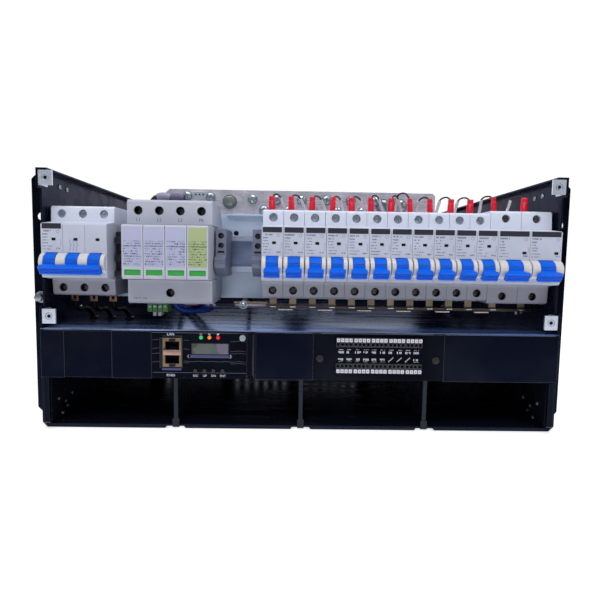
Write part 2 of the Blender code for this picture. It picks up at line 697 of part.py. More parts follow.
def make_signal_panel():
    left, right = SIGNAL_X
    plate = box((left, right), (behind(0.6), behind(2.1)), (INSERT_LOW, INSERT_HIGH))
    windows = [
        box((HEADER_X[0] - 0.5, HEADER_X[1] + 0.5), (behind(-1), behind(4)), (low - 0.4, high + 0.4))
        for low, high in (HEADER_UPPER_Z, HEADER_LOWER_Z)
    ]
    solid("io_panel", "unit_black", plate, cuts=[together(windows)])

    board = box((24, 108), (behind(9), behind(10.6)), (48, 85))
    headers = [box(HEADER_X, (behind(-2.5), behind(9.6)), ends) for ends in (HEADER_UPPER_Z, HEADER_LOWER_Z)]
    posts = [
        cylinder((x, z), 1.9, "Y", behind(2.4), behind(9.5), 12) for x in (26.2, 105.6) for z in (51, 80)
    ]
    holes = [
        box((x - 1.1, x + 1.1), (behind(-4), behind(3)), (z - 1.1, z + 1.1))
        for x in pin_places()
        for z in (HEADER_UPPER_Z[0] + 2.2, HEADER_LOWER_Z[1] - 2.2)
    ]
    solid("io_board", "header_black", board, [together(headers), together(posts)], [together(holes)])


def make_filler():
    left, right = FILLER_X
    front = behind(0.6)
    section = [
        (left, front),
        (right, front),
        (right, front + 12),
        (right - 1.2, front + 12),
        (right - 1.2, front + SHEET),
        (left + 1.2, front + SHEET),
        (left + 1.2, front + 12),
        (left, front + 12),
    ]
    solid("filler_plate", "unit_black", prism(section, "Z", INSERT_LOW, INSERT_HIGH))


clear_scene()
make_tray()
make_bay_frame()
make_fascia()
make_ears()
make_cover_brackets()
make_backplane()
make_mounting_plate()
make_din_rail()
make_end_clamps()
make_busbars()
make_breakers()
make_surge_protector()
make_controller()
make_signal_panel()
make_filler()
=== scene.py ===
"""The looks of a rack DC power subrack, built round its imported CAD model.

Places are in millimetres in the model's own frame: X to the right seen from the front, the front
faces -Y, Z up. Each piece's mesh is written in that frame, so its material's object coordinates
are the frame's too.
"""

import math
import random

import bmesh
import bpy
from mathutils import Matrix, Vector


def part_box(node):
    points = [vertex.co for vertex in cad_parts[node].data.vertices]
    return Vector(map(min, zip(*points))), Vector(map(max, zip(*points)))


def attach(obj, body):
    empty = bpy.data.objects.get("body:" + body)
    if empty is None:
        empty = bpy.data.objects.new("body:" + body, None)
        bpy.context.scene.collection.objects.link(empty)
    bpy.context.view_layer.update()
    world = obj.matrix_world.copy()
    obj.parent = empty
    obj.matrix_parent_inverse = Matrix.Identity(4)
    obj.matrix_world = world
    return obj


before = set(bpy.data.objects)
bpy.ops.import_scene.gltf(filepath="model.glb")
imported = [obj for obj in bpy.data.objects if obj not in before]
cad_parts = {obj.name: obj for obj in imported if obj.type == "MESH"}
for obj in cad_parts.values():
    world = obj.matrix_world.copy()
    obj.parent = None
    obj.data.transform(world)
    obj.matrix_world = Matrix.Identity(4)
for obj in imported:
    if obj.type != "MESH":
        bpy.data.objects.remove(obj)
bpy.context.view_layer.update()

MM = 0.001
DETAIL_SEED = 7
SURGE_SEED = 3
TERMINAL_SEED = 11
SHARP_ANGLE = 32  # degrees; a flatter fold is shaded smooth


def ends(node):
    """A node's lowest and highest X, in millimetres."""
    return [corner.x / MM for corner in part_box(node)]


def middle(node):
    """The X of a node's middle, in millimetres."""
    low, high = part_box(node)
    return (low.x + high.x) / 2 / MM


# Driving places, read from the frame. NOSE and SHOULDER are the Y of a breaker's nose and of its
# terminal covers.
TRAY_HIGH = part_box("chassis_tray")[1] / MM
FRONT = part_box("chassis_tray")[0].y / MM
SHELF_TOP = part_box("fascia_shelf")[1].z / MM
RAIL_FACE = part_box("din_rail")[0].y / MM
RAIL_Z = (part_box("din_rail")[0].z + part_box("din_rail")[1].z) / 2 / MM
NOSE = RAIL_FACE - 62.0
SHOULDER = RAIL_FACE - 44.5
MODULE_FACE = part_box("spd_module_1")[0].y / MM
BUSBAR_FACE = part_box("positive_busbar")[0].y / MM
INNER = TRAY_HIGH.x - 1.5
UNIT_LEFT, UNIT_RIGHT = ends("controller_case")
GLASS_LEFT, GLASS_RIGHT = ends("controller_lcd")
JACK = middle("controller_jack")

# Breakers: an AC pole's width, the half width over which a DC breaker is a wide one, the AC terminals'
# distance from the rail's middle, how deep the upper and the lower screws lie behind the shoulder, and
# the Y of the sleeves and lugs in the terminals.
POLE = 18
WIDE_HALF = 11
WELL_RISE = 31.5
UPPER_SCREW = 3.0
LOWER_SCREW = 4.6
SLEEVE_Y = RAIL_FACE - 25.5

# A lever's drum: its radius and its axis.
DRUM = 8.1
HINGE_Y = RAIL_FACE - 60
HINGE_Z = RAIL_Z - 10

# The Y of the surge protector's base, of the signal panel's plate and of its terminal headers, and the
# heights of the double socket's two ports.
SURGE_SHOULDER = RAIL_FACE - 50
PANEL_FACE = FRONT + 0.6
HEADER_FACE = FRONT - 2.5
PORTS = ((58.9, 66.5), (70.8, 78.4))

# The distance between the bolts in each row on the positive bar.
BOLT_PITCH = 24.1

DC_BREAKERS = [f"dc_breaker_{number:02d}" for number in range(1, 14)]
RACK = "rack"
CONTROLLER = "controller"

# The camera: a 27 mm lens on a 36 mm sensor, level with the breakers and tipped a little down.
CAMERA_PLACE = (-11.2, FRONT - 378.9, 150.5)
CAMERA_LENS = 27.0
CAMERA_PITCH = 0.0807
CAMERA_ROLL = 0.0149
CAMERA_YAW = 0.0160
CAMERA_SHIFT = (0.0044, -0.0098)

# The studio's light: its brightness in front of the object and behind it, the lamps' watts, and the
# floor's own faint glow, which fades between two places in front of the object, in metres.
FRONT_GLOW = 0.2
BACK_GLOW = 1.03
OVERHEAD_POWER = 12.0
SIDE_POWER = 1.2
FLOOR_GLOW = 0.62
FLOOR_FADE = (-0.62, -0.38)


def behind(distance):
    """The Y of a plane this far behind the tray's front edge."""
    return FRONT + distance


def srgb(red, green, blue):
    """A colour of 0 to 255 display values as the linear values that shaders take."""
    return tuple((value / 255) ** 2.2 for value in (red, green, blue))


# ---------------------------------------------------------------- materials


class Nodes:
    """A material's node tree, with short calls for the nodes that the surfaces here share."""

    def __init__(self, name):
        self.material = bpy.data.materials.new(name)
        self.material.use_nodes = True
        self.tree = self.material.node_tree
        self.shader = self.tree.nodes["Principled BSDF"]
        self.place = self.add("ShaderNodeTexCoord").outputs["Object"]

    def add(self, kind, links=None, **settings):
        node = self.tree.nodes.new(kind)
        for key, value in settings.items():
            setattr(node, key, value)
        for socket, value in (links or {}).items():
            self.put(node.inputs[socket], value)
        return node

    def put(self, socket, value):
        """Joins an output to the socket, or sets the socket's own value."""
        if isinstance(value, bpy.types.NodeSocket):
            self.tree.links.new(value, socket)
        else:
            socket.default_value = value

    def stretched(self, scale):
        return self.add("ShaderNodeMapping", {"Vector": self.place, "Scale": scale}).outputs["Vector"]

    def noise(self, size, detail=3.0, scale=(1, 1, 1)):
        """Noise from 0 to 1 whose patches are about size millimetres across."""
        links = {"Vector": self.stretched(scale), "Scale": 1 / (size * MM), "Detail": detail}
        return self.add("ShaderNodeTexNoise", links).outputs["Fac"]

    def spread(self, factor, low, high, start=0.3, end=0.7):
        """The factor between start and end, as a number from low to high."""
        links = {"Value": factor, "From Min": start, "From Max": end, "To Min": low, "To Max": high}
        return self.add("ShaderNodeMapRange", links).outputs["Result"]

    def math(self, operation, first, second):
        return self.add("ShaderNodeMath", {0: first, 1: second}, operation=operation).outputs[0]

    def blend(self, factor, first, second):
        first = (*first, 1.0) if isinstance(first, tuple) else first
        second = (*second, 1.0) if isinstance(second, tuple) else second
        node = self.add("ShaderNodeMix", data_type="RGBA")
        self.put(node.inputs["Factor"], factor)
        self.put(node.inputs[6], first)
        self.put(node.inputs[7], second)
        return node.outputs[2]

    def axis(self, letter):
        return self.add("ShaderNodeSeparateXYZ", {"Vector": self.place}).outputs[letter]

    def between(self, value, low, high):
        """1 where the value lies between two lengths in millimetres."""
        above = self.math("GREATER_THAN", value, low * MM)
        return self.math("MULTIPLY", above, self.math("LESS_THAN", value, high * MM))

    def edges(self, radius):
        """(a normal rounded over edges, 1 on an edge and 0 away from it)."""
        rounded = self.add("ShaderNodeBevel", {"Radius": radius * MM}, samples=6).outputs["Normal"]
        true = self.add("ShaderNodeNewGeometry").outputs["Normal"]
        alike = self.add("ShaderNodeVectorMath", {0: rounded, 1: true}, operation="DOT_PRODUCT")
        return rounded, self.spread(alike.outputs["Value"], 1.0, 0.0, 0.90, 0.995)

    def bump(self, height, normal, distance, strength):
        """A normal roughened by the height, whose full rise is distance millimetres."""
        links = {"Height": height, "Normal": normal, "Distance": distance * MM, "Strength": strength}
        return self.add("ShaderNodeBump", links).outputs["Normal"]

    def finish(self, colour, roughness, normal=None, metallic=0.0):
        self.put(self.shader.inputs["Base Color"], colour)
        self.put(self.shader.inputs["Roughness"], roughness)
        self.shader.inputs["Metallic"].default_value = metallic
        if normal:
            self.put(self.shader.inputs["Normal"], normal)
        return self.material


def dimmer(colour, amount):
    """The colour with its brightness multiplied."""
    return tuple(value * amount for value in colour)


def moulded(
    name, colour, roughness=0.42, mottle=0.05, rounding=0.35, tint=None, specular=0.5, edge_light=0.18
):
    """Moulded plastic: a fine spark-eroded grain, faint flow mottling and softly lit edges.

    tint is a function that takes the nodes and the colour so far and returns the colour to use.
    """
    colour = srgb(*colour)
    nodes = Nodes(name)
    patches = nodes.noise(22, 4.0)
    shade = nodes.blend(nodes.spread(patches, 0, 1), dimmer(colour, 1 - mottle), dimmer(colour, 1 + mottle))
    if tint:
        shade = tint(nodes, shade)
    rounded, edge = nodes.edges(rounding)
    shade = nodes.blend(nodes.math("MULTIPLY", edge, edge_light), shade, (1.0, 1.0, 1.0))
    normal = nodes.bump(nodes.noise(0.35, 2.0), rounded, 0.01, 0.5)
    nodes.shader.inputs["Specular IOR Level"].default_value = specular
    rough = nodes.spread(nodes.noise(6), roughness * 0.9, roughness * 1.1)
    return nodes.finish(shade, rough, normal)


def painted(name, colour, roughness, gloss, wear_and_highlight, streaks=0.0, sheet=0.0, tint=None):
    """Powder coat over steel: orange peel, dust in patches and paler edges, from thin paint and a painted
    highlight.

    streaks is how much the gloss varies in long streaks from side to side, and sheet is how far the
    coat is a dark metallic one, which reflects a dim blue at low angles.
    """
    colour, wear_and_highlight = srgb(*colour), srgb(*wear_and_highlight)
    nodes = Nodes(name)
    dust = nodes.spread(nodes.noise(60, 5.0), 0, 1, 0.45, 0.8)
    shade = nodes.blend(nodes.math("MULTIPLY", dust, 0.3), colour, dimmer(wear_and_highlight, 0.15 if sheet else 0.5))
    if tint:
        shade = tint(nodes, shade)
    rounded, edge = nodes.edges(0.5)
    # The paler edges: thin paint there, and a painted highlight.
    shade = nodes.blend(nodes.math("MULTIPLY", edge, 0.5), shade, wear_and_highlight)
    normal = nodes.bump(nodes.noise(1.6, 2.0), rounded, 0.03, 0.6)
    rough = nodes.spread(nodes.noise(35, 4.0), roughness * 0.85, roughness * 1.15)
    if streaks:
        streak_pattern = nodes.spread(nodes.noise(16, 4.0, (0.16, 1, 1)), 0, streaks, 0.42, 0.62)
        rough = nodes.math("ADD", rough, streak_pattern)
    nodes.shader.inputs["Specular IOR Level"].default_value = gloss
    sheen = (0.24, 0.34, 0.56, 1.0) if sheet else (0.72, 0.82, 1.0, 1.0)
    nodes.shader.inputs["Specular Tint"].default_value = sheen
    return nodes.finish(shade, rough, normal, sheet)


def case_shades(nodes, shade):
    """A darker tone on the case's front edges than on its walls."""
    front = nodes.spread(nodes.axis("Y"), 0.85, 0.0, behind(3) * MM, behind(9) * MM)
    return nodes.blend(front, shade, srgb(9, 10, 15))


def shelf_painted_highlights(nodes, shade):
    """Painted reflections: pale, bluish streaks on the shelf's top, weaker towards the back, paler at the
    left.
    """
    top = nodes.math("GREATER_THAN", nodes.axis("Z"), (SHELF_TOP - 0.7) * MM)
    near = nodes.spread(nodes.axis("Y"), 1.0, 0.0, behind(2) * MM, behind(70) * MM)
    streak_pattern = nodes.spread(nodes.noise(11, 4.0, (0.1, 1, 1)), 0.15, 1.0, 0.4, 0.62)
    left = nodes.spread(nodes.axis("X"), 1.0, 0.0, -90 * MM, -30 * MM)
    pale = nodes.blend(left, srgb(102, 134, 204), srgb(168, 196, 255))
    amount = nodes.math("MULTIPLY", nodes.math("MULTIPLY", top, near), streak_pattern)
    return nodes.blend(amount, shade, pale)


def metal(name, colour, roughness, along=(1, 1, 1), streak=0.8, stain=0.12, whole=1.0, tint=None):
    """Plated or brushed metal: streaks along one axis, faint staining and painted highlights on its edges.

    whole is 1 for bare metal and less for a plating with a dull passivated skin.
    """
    colour = srgb(*colour)
    nodes = Nodes(name)
    stains = nodes.spread(nodes.noise(14, 5.0), 0, 1)
    shade = nodes.blend(stains, dimmer(colour, 1 - stain), dimmer(colour, 1 + stain * 0.6))
    if tint:
        shade = tint(nodes, shade)
    brushed = nodes.noise(streak, 3.0, along)
    rounded, edge = nodes.edges(0.25)
    # Painted highlight on the edges.
    shade = nodes.blend(nodes.math("MULTIPLY", edge, 0.35), shade, (0.95, 0.95, 0.95))
    normal = nodes.bump(brushed, rounded, 0.012, 0.6)
    rough = nodes.spread(brushed, roughness * 0.75, roughness * 1.3)
    return nodes.finish(shade, rough, normal, whole)


def rail_painted_light(nodes, shade):
    """Painted light and shade: a brighter tone on the rail's two front lips than on its recessed web."""
    lips = nodes.math("LESS_THAN", nodes.axis("Y"), (RAIL_FACE + 1.4) * MM)
    return nodes.blend(lips, shade, srgb(196, 208, 234))


def painted_nose_shadow(nodes, shade, amount=0.34):
    """Painted shadow: a darker, warmer tone on the terminal covers under the nose."""
    low = nodes.spread(nodes.axis("Z"), amount, 0.0, (RAIL_Z - 27) * MM, (RAIL_Z - 19) * MM)
    return nodes.blend(low, shade, srgb(88, 84, 96))


def comb_shade(nodes, shade):
    """A darker tone on the comb's long strip than on its tabs."""
    strip = nodes.math("LESS_THAN", nodes.axis("Z"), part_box("negative_busbar")[0].z + 4.2 * MM)
    return nodes.blend(nodes.math("MULTIPLY", strip, 0.75), shade, srgb(58, 50, 54))


def shell_tones_and_painted_light(nodes, shade):
    """Warmer lever cheeks, paler terminal covers above the nose as painted light, painted shadow below."""
    # Painted light from above on the terminal covers over the nose.
    high = nodes.spread(nodes.axis("Z"), 0.0, 0.8, (RAIL_Z + 22.4) * MM, (RAIL_Z + 24.8) * MM)
    shade = nodes.blend(high, shade, srgb(226, 233, 252))
    inside = nodes.between(nodes.axis("Z"), RAIL_Z - 18.6, RAIL_Z - 1.6)
    proud = nodes.math("LESS_THAN", nodes.axis("Y"), (NOSE - 0.2) * MM)
    cheeks = nodes.blend(nodes.math("MULTIPLY", inside, proud), shade, srgb(212, 210, 212))
    # Painted shadow under the nose.
    return painted_nose_shadow(nodes, cheeks, 0.62)


def lcd_glass():
    """A reflective display: grey-green, turning to a faint pink towards its right end."""
    nodes = Nodes("lcd_glass")
    low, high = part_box("controller_lcd")
    across = nodes.spread(nodes.axis("X"), 0, 1, low.x, high.x)
    waves = nodes.math("ADD", across, nodes.spread(nodes.noise(9, 2.0), -0.15, 0.15))
    ramp = nodes.add("ShaderNodeValToRGB", {"Fac": waves})
    stops = ((0.0, (20, 34, 26)), (0.14, (30, 46, 36)), (0.19, (62, 76, 72)), (0.5, (70, 76, 74)))
    stops += ((0.56, (48, 76, 64)), (0.7, (46, 68, 76)), (0.78, (92, 82, 106)), (1.0, (92, 86, 110)))
    while len(ramp.color_ramp.elements) < len(stops):
        ramp.color_ramp.elements.new(0.5)
    for element, (position, colour) in zip(ramp.color_ramp.elements, stops):
        element.position = position
        element.color = (*srgb(*colour), 1.0)
    nodes.shader.inputs["Coat Weight"].default_value = 0.6
    return nodes.finish(ramp.outputs["Color"], nodes.spread(nodes.noise(0.5), 0.16, 0.22))


def lamp(name, colour):
    """A small diffused lamp lens, lit faintly from behind."""
    colour = srgb(*colour)
    nodes = Nodes(name)
    core = nodes.blend(nodes.noise(0.8), dimmer(colour, 0.75), colour)
    nodes.put(nodes.shader.inputs["Emission Color"], (*colour, 1.0))
    nodes.shader.inputs["Emission Strength"].default_value = 0.25
    return nodes.finish(core, nodes.spread(nodes.noise(1.0), 0.12, 0.25))


def ink(name, colour, roughness=0.5):
    """Pad print: slightly uneven in its density."""
    colour = srgb(*colour)
    nodes = Nodes(name)
    density = nodes.spread(nodes.noise(0.7, 3.0), 0, 1)
    shade = nodes.blend(density, dimmer(colour, 0.8), dimmer(colour, 1.15))
    return nodes.finish(shade, nodes.spread(nodes.noise(1.5), roughness * 0.9, roughness * 1.1))


def fine_print(nodes):
    """1 where a label has ink, for rows of small marks too fine to read."""
    row, letter, word = 2.1, 0.5, 2.4
    height = nodes.math("DIVIDE", nodes.axis("Z"), row * MM)
    line = nodes.math("LESS_THAN", nodes.math("FRACT", height, 0.0), 0.55)
    letters = nodes.spread(nodes.noise(letter, 1.0, (1.0, 1.0, 0.35)), 0, 1, 0.45, 0.6)
    gaps = nodes.spread(nodes.noise(word, 0.0, (1.0, 1.0, 0.8)), 0, 1, 0.38, 0.46)
    return nodes.math("MULTIPLY", line, nodes.math("MULTIPLY", letters, gaps))


def surge_label(name, paper, mark):
    """A surge module's label: plain above, with rows of fine print on its lower two thirds."""
    paper, mark = srgb(*paper), srgb(*mark)
    nodes = Nodes(name)
    marks = fine_print(nodes)
    printed = nodes.between(nodes.axis("Z"), RAIL_Z - 11, RAIL_Z + 9)
    # Painted light from above: the paper grows a little paler towards its top.
    lit_towards_top = nodes.spread(nodes.axis("Z"), 0, 1, (RAIL_Z - 12) * MM, (RAIL_Z + 22) * MM)
    ground = nodes.blend(lit_towards_top, dimmer(paper, 0.93), dimmer(paper, 1.05))
    head = nodes.math("MULTIPLY", nodes.between(nodes.axis("Z"), RAIL_Z + 4.2, RAIL_Z + 5.0), 0.6)
    inked = nodes.math("MAXIMUM", nodes.math("MULTIPLY", printed, marks), head)
    return nodes.finish(nodes.blend(inked, ground, mark), nodes.spread(nodes.noise(3), 0.34, 0.44))


looks = {}


def look(maker, name, *values, **settings):
    """Keeps a material made by one of the makers above under its name."""
    looks[name] = maker(name, *values, **settings)


def make_materials():
    """Every look. A colour is what a display shows, from 0 to 255."""
    look(painted, "case_paint", (31, 35, 51), 0.16, 0.3, (68, 72, 84), 0.16, 0.4, case_shades)
    look(painted, "bay_paint", (25, 28, 38), 0.2, 0.35, (40, 43, 51), 0.1)
    # The fascia's and the shelf's pale edge colour also serves as a painted highlight along their folded
    # edges.
    look(painted, "fascia_paint", (19, 22, 34), 0.13, 0.15, (123, 128, 140), 0.2, 0.85)
    look(painted, "shelf_paint", (19, 22, 34), 0.13, 0.15, (123, 128, 140), 0.2, 0.6, shelf_painted_highlights)
    look(painted, "panel_paint", (15, 17, 27), 0.45, 0.05, (65, 68, 78))
    look(metal, "zinc", (212, 230, 255), 0.36, (0.02, 1, 1), stain=0.08, whole=0.4)
    look(metal, "rail_zinc", (144, 160, 196), 0.34, (0.02, 1, 1), stain=0.16, whole=0.8, tint=rail_painted_light)
    look(metal, "nickel", (218, 227, 246), 0.32, stain=0.06, whole=0.85)
    look(metal, "tinned", (238, 238, 255), 0.3, (0.03, 1, 1), streak=0.5, stain=0.24, whole=0.75)
    look(metal, "comb_tin", (140, 126, 110), 0.4, (1, 1, 0.1), stain=0.25, tint=comb_shade)
    look(metal, "bright_lip", (225, 222, 216), 0.3, stain=0.1)
    look(metal, "hex_zinc", (150, 160, 160), 0.34, stain=0.3)
    look(metal, "screw_zinc", (176, 188, 200), 0.28, stain=0.25)
    look(metal, "jack_shield", (126, 110, 88), 0.34, stain=0.25)
    look(metal, "jack_band", (176, 138, 128), 0.4, stain=0.25)
    look(metal, "lever_screw", (150, 158, 170), 0.32, stain=0.3)
    look(moulded, "shell", (190, 196, 214), 0.38, tint=shell_tones_and_painted_light)
    # The surge modules' lower part gets the same painted shadow under the nose.
    look(moulded, "surge_shell", (184, 188, 204), 0.42, tint=painted_nose_shadow)
    look(moulded, "well", (24, 24, 32), 0.5, specular=0.2)
    look(metal, "dark_screw", (88, 84, 92), 0.3, stain=0.35)
    look(moulded, "toggle", (0, 100, 232), 0.4, mottle=0.04, rounding=0.5, specular=0.1, edge_light=0.06)
    look(moulded, "toggle_dark", (8, 40, 120), 0.5)
    look(moulded, "clamp", (112, 118, 140), 0.48)
    look(moulded, "key_black", (26, 27, 32), 0.40, rounding=0.2)
    look(moulded, "header_black", (18, 19, 24), 0.5, rounding=0.15)
    look(moulded, "pin_white", (206, 209, 220), 0.45, rounding=0.15)
    look(moulded, "board", (18, 84, 52), 0.4, mottle=0.2)
    look(ink, "band", (36, 36, 52))
    look(ink, "dark_print", (92, 94, 116))
    look(ink, "pale_print", (214, 218, 232))
    look(ink, "dim_print", (88, 92, 112))
    look(ink, "window", (14, 22, 22), 0.25)
    look(ink, "green_window", (46, 160, 62), 0.35)
    look(ink, "ledge", (60, 64, 110), 0.4)
    look(ink, "seam", (120, 124, 142), 0.6)
    looks["lcd"] = lcd_glass()
    look(lamp, "lamp_green", (60, 200, 120))
    look(lamp, "lamp_orange", (250, 140, 50))
    look(lamp, "lamp_red", (226, 36, 56))
    look(surge_label, "phase_label", (172, 177, 208), (66, 58, 88))
    look(surge_label, "earth_label", (164, 180, 134), (56, 66, 50))
    look(moulded, "sleeve_red", (222, 14, 52), 0.36, mottle=0.1)
    look(moulded, "wire_black", (30, 31, 38), 0.42, mottle=0.15)
    look(moulded, "lead_black", (12, 12, 16), 0.5, mottle=0.15, specular=0.15, edge_light=0.03)
    look(moulded, "marker_white", (206, 208, 214), 0.5, mottle=0.08)
    look(moulded, "shrink_dark", (92, 86, 116), 0.45, mottle=0.2)
    look(moulded, "shrink_pale", (150, 148, 172), 0.4, mottle=0.2)
    look(moulded, "terminal_green", (70, 130, 50), 0.4, mottle=0.15)
    look(moulded, "wire_blue", (28, 60, 150), 0.4, mottle=0.15)
    look(metal, "copper", (128, 100, 84), 0.4, stain=0.3)


make_materials()


# The look of each CAD node, by how its name starts.
NODE_LOOKS = {
    "dc_breaker": "shell",
    "ac_breaker": "shell",
    "spd_": "surge_shell",
    "end_clamp": "clamp",
    "button": "key_black",
    "cover_bracket": "nickel",
    "rack_ear": "fascia_paint",
    "chassis_tray": "case_paint",
    "bay_frame": "bay_paint",
    "fascia_shelf": "shelf_paint",
    "filler_plate": "fascia_paint",
    "rectifier_backplane": "board",
    "mounting_plate": "zinc",
    "din_rail": "rail_zinc",
    "positive_busbar": "tinned",
    "negative_busbar": "comb_tin",
    "controller_case": "panel_paint",
    "controller_lcd": "lcd",
    "controller_jack": "jack_shield",
    "controller_thumbscrew": "lever_screw",
    "io_panel": "panel_paint",
    "io_board": "header_black",
}


def node_finish(node):
    """The look of a CAD node. Every breaker's lever is a blue toggle."""
    if node.endswith("_handle"):
        return "toggle"
    return next(finish for start, finish in NODE_LOOKS.items() if node.startswith(start))


for node_name, node_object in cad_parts.items():
    node_object.data.materials.clear()
    node_object.data.materials.append(looks[node_finish(node_name)])


# ---------------------------------------------------------------- shapes


def link(made):
    """Puts a new object in the scene."""
    bpy.context.scene.collection.objects.link(made)


def as_mesh(shape, name="spare"):
    """The shape as a mesh, which frees the shape."""
    mesh = bpy.data.meshes.new(name)
    shape.to_mesh(mesh)
    shape.free()
    return mesh


def as_shape(mesh):
    """A shape to work on, with the mesh's form."""
    shape = bmesh.new()
    shape.from_mesh(mesh)
    return shape


def shifted(shape, place):
    """The shape, moved by a place in millimetres."""
    bmesh.ops.translate(shape, verts=shape.verts, vec=place)
    return shape


def prism(outline, axis, low, high):
    """A flat outline drawn from low to high along an axis: (y, z), (x, z) or (x, y) points."""
    place = {
        "X": lambda a, b: (low, a, b),
        "Y": lambda a, b: (a, low, b),
        "Z": lambda a, b: (a, b, low),
    }[axis]
    direction = {"X": (1, 0, 0), "Y": (0, 1, 0), "Z": (0, 0, 1)}[axis]
    shape = bmesh.new()
    face = shape.faces.new([shape.verts.new(place(a, b)) for a, b in outline])
    grown = bmesh.ops.extrude_face_region(shape, geom=[face])
    moved = [item for item in grown["geom"] if isinstance(item, bmesh.types.BMVert)]
    bmesh.ops.translate(shape, verts=moved, vec=Vector(direction) * (high - low))
    bmesh.ops.recalc_face_normals(shape, faces=shape.faces)
    return shape


def soften(shape, width, segments=2):
    """The shape with its edges rounded."""
    rounding = {"offset": width, "segments": segments, "profile": 0.6}
    bmesh.ops.bevel(shape, geom=shape.edges[:], affect="EDGES", clamp_overlap=True, **rounding)
    return shape


def block(x, y, z, soft=0.0):
    """A box between two places on each axis, with its edges rounded by soft."""
    shape = prism([(x[0], y[0]), (x[1], y[0]), (x[1], y[1]), (x[0], y[1])], "Z", z[0], z[1])
    return soften(shape, soft) if soft else shape


def ring_points(centre, radius, sides):
    """The corners of a regular polygon."""
    turns = [2 * math.pi * (step + 0.5) / sides for step in range(sides)]
    return [(centre[0] + radius * math.cos(turn), centre[1] + radius * math.sin(turn)) for turn in turns]


def disc(centre, radius, axis, low, high, sides=24, soft=0.0):
    """A round bar from low to high along an axis."""
    shape = prism(ring_points(centre, radius, sides), axis, low, high)
    return soften(shape, soft, 1) if soft else shape


def lathe(profile, sides=28):
    """A closed (radius, depth) profile turned about the Y axis."""
    shape = bmesh.new()
    rings = []
    for radius, depth in profile:
        if radius < 1e-6:
            rings.append([shape.verts.new((0, depth, 0))])
            continue
        turns = [2 * math.pi * step / sides for step in range(sides)]
        points = [(radius * math.cos(turn), depth, radius * math.sin(turn)) for turn in turns]
        rings.append([shape.verts.new(point) for point in points])
    for inner, outer in zip(rings, rings[1:]):
        for step in range(sides):
            after = (step + 1) % sides
            corners = [inner[step % len(inner)], outer[step % len(outer)]]
            corners += [outer[after % len(outer)], inner[after % len(inner)]]
            unique = list(dict.fromkeys(corners))
            if len(unique) > 2:
                shape.faces.new(unique)
    bmesh.ops.recalc_face_normals(shape, faces=shape.faces)
    return shape


def tube(inner, outer, low, high, sides):
    """A plain ring about the Y axis."""
    return lathe([(inner, low), (outer, low), (outer, high), (inner, high), (inner, low)], sides)


def gathered(shapes):
    """Several shapes as one shape."""
    joined = bmesh.new()
    for shape in shapes:
        spare = as_mesh(shape)
        joined.from_mesh(spare)
        bpy.data.meshes.remove(spare)
    return joined


def show(name, shape, finish, body=RACK):
    """The shape as a piece of the object that rides on a body."""
    bmesh.ops.scale(shape, verts=shape.verts, vec=(MM, MM, MM))
    mesh = as_mesh(shape, name)
    mesh.shade_smooth()
    mesh.set_sharp_from_angle(angle=math.radians(SHARP_ANGLE))
    place_piece(bpy.data.objects.new(name, mesh), finish, body)


def place_piece(made, finish, body):
    """Puts a new piece in the scene with its look, on its body."""
    link(made)
    made.data.materials.append(looks[finish])
    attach(made, body)


def cut_mesh(base, cutter):
    """The base with the cutter taken out of it, as a mesh."""
    objects = [bpy.data.objects.new("spare", as_mesh(shape)) for shape in (base, cutter)]
    for made in objects:
        link(made)
    modifier = objects[0].modifiers.new("cut", "BOOLEAN")
    modifier.operation = "DIFFERENCE"
    modifier.object = objects[1]
    graph = bpy.context.evaluated_depsgraph_get()
    mesh = bpy.data.meshes.new_from_object(objects[0].evaluated_get(graph))
    for old in objects:
        bpy.data.objects.remove(old, do_unlink=True)
    return mesh


def stamped(mesh, places, aim=None):
    """Copies of a mesh made about the origin, at each place, each with its own turn about its axis."""
    chance = random.Random(DETAIL_SEED)
    joined = bmesh.new()
    for place in places:
        start = len(joined.verts)
        joined.from_mesh(mesh)
        joined.verts.ensure_lookup_table()
        fresh = joined.verts[start:]
        turn = Matrix.Rotation(chance.uniform(0, math.pi), 3, "Y")
        bmesh.ops.rotate(joined, verts=fresh, cent=(0, 0, 0), matrix=(aim @ turn) if aim else turn)
        bmesh.ops.translate(joined, verts=fresh, vec=place)
    return joined


def drive_screw(radius, height, dome=0.35):
    """A pan head with a combined cross and slot, its underside at Y = 0 and its top towards -Y."""
    profile = [(0, 0), (radius, 0), (radius, -height * 0.6), (radius * 0.93, -height * 0.9)]
    profile += [(radius * 0.6, -height - dome * 0.6), (0, -height - dome)]
    reach = radius * 0.72
    width = radius * 0.15
    depth = (-height - dome - 1, -height * 0.35)
    slot = block((-radius * 1.2, radius * 1.2), depth, (-width, width))
    cross = block((-width, width), depth, (-reach, reach))
    return cut_mesh(as_shape(cut_mesh(lathe(profile), slot)), cross)


def washer(radius, hole, low, high):
    """A flat ring from low to high along Y, its front edge broken by a small chamfer."""
    front = [(hole, low), (radius - 0.2, low), (radius, low - 0.15)]
    return lathe(front + [(radius, high), (hole, high), (hole, low)])


def hex_bolt(across, height, washer_radius):
    """A hexagon head with a spring washer and a flat washer under it, from Y = 0 towards -Y."""
    reach = across / math.sqrt(3)
    turns = [math.pi * step / 3 for step in range(6)]
    corners = [(reach * math.cos(turn), reach * math.sin(turn)) for turn in turns]
    head = soften(prism(corners, "Y", -2.6 - height, -2.5), 0.35, 2)
    under = [washer(washer_radius, 2.0, -0.9, 0.0), washer(washer_radius * 0.78, 2.0, -2.5, -1.0)]
    return as_mesh(gathered([*under, head]))


def pan_bolt(radius, washer_radius):
    """A pan head with a cross drive over a spring washer and a flat washer."""
    head = shifted(as_shape(drive_screw(radius, 2.4, 0.8)), (0, -2.1, 0))
    under = [washer(washer_radius, 1.6, -0.9, 0.0), washer(radius * 1.02, 1.6, -2.1, -1.0)]
    return as_mesh(gathered([head, *under]))


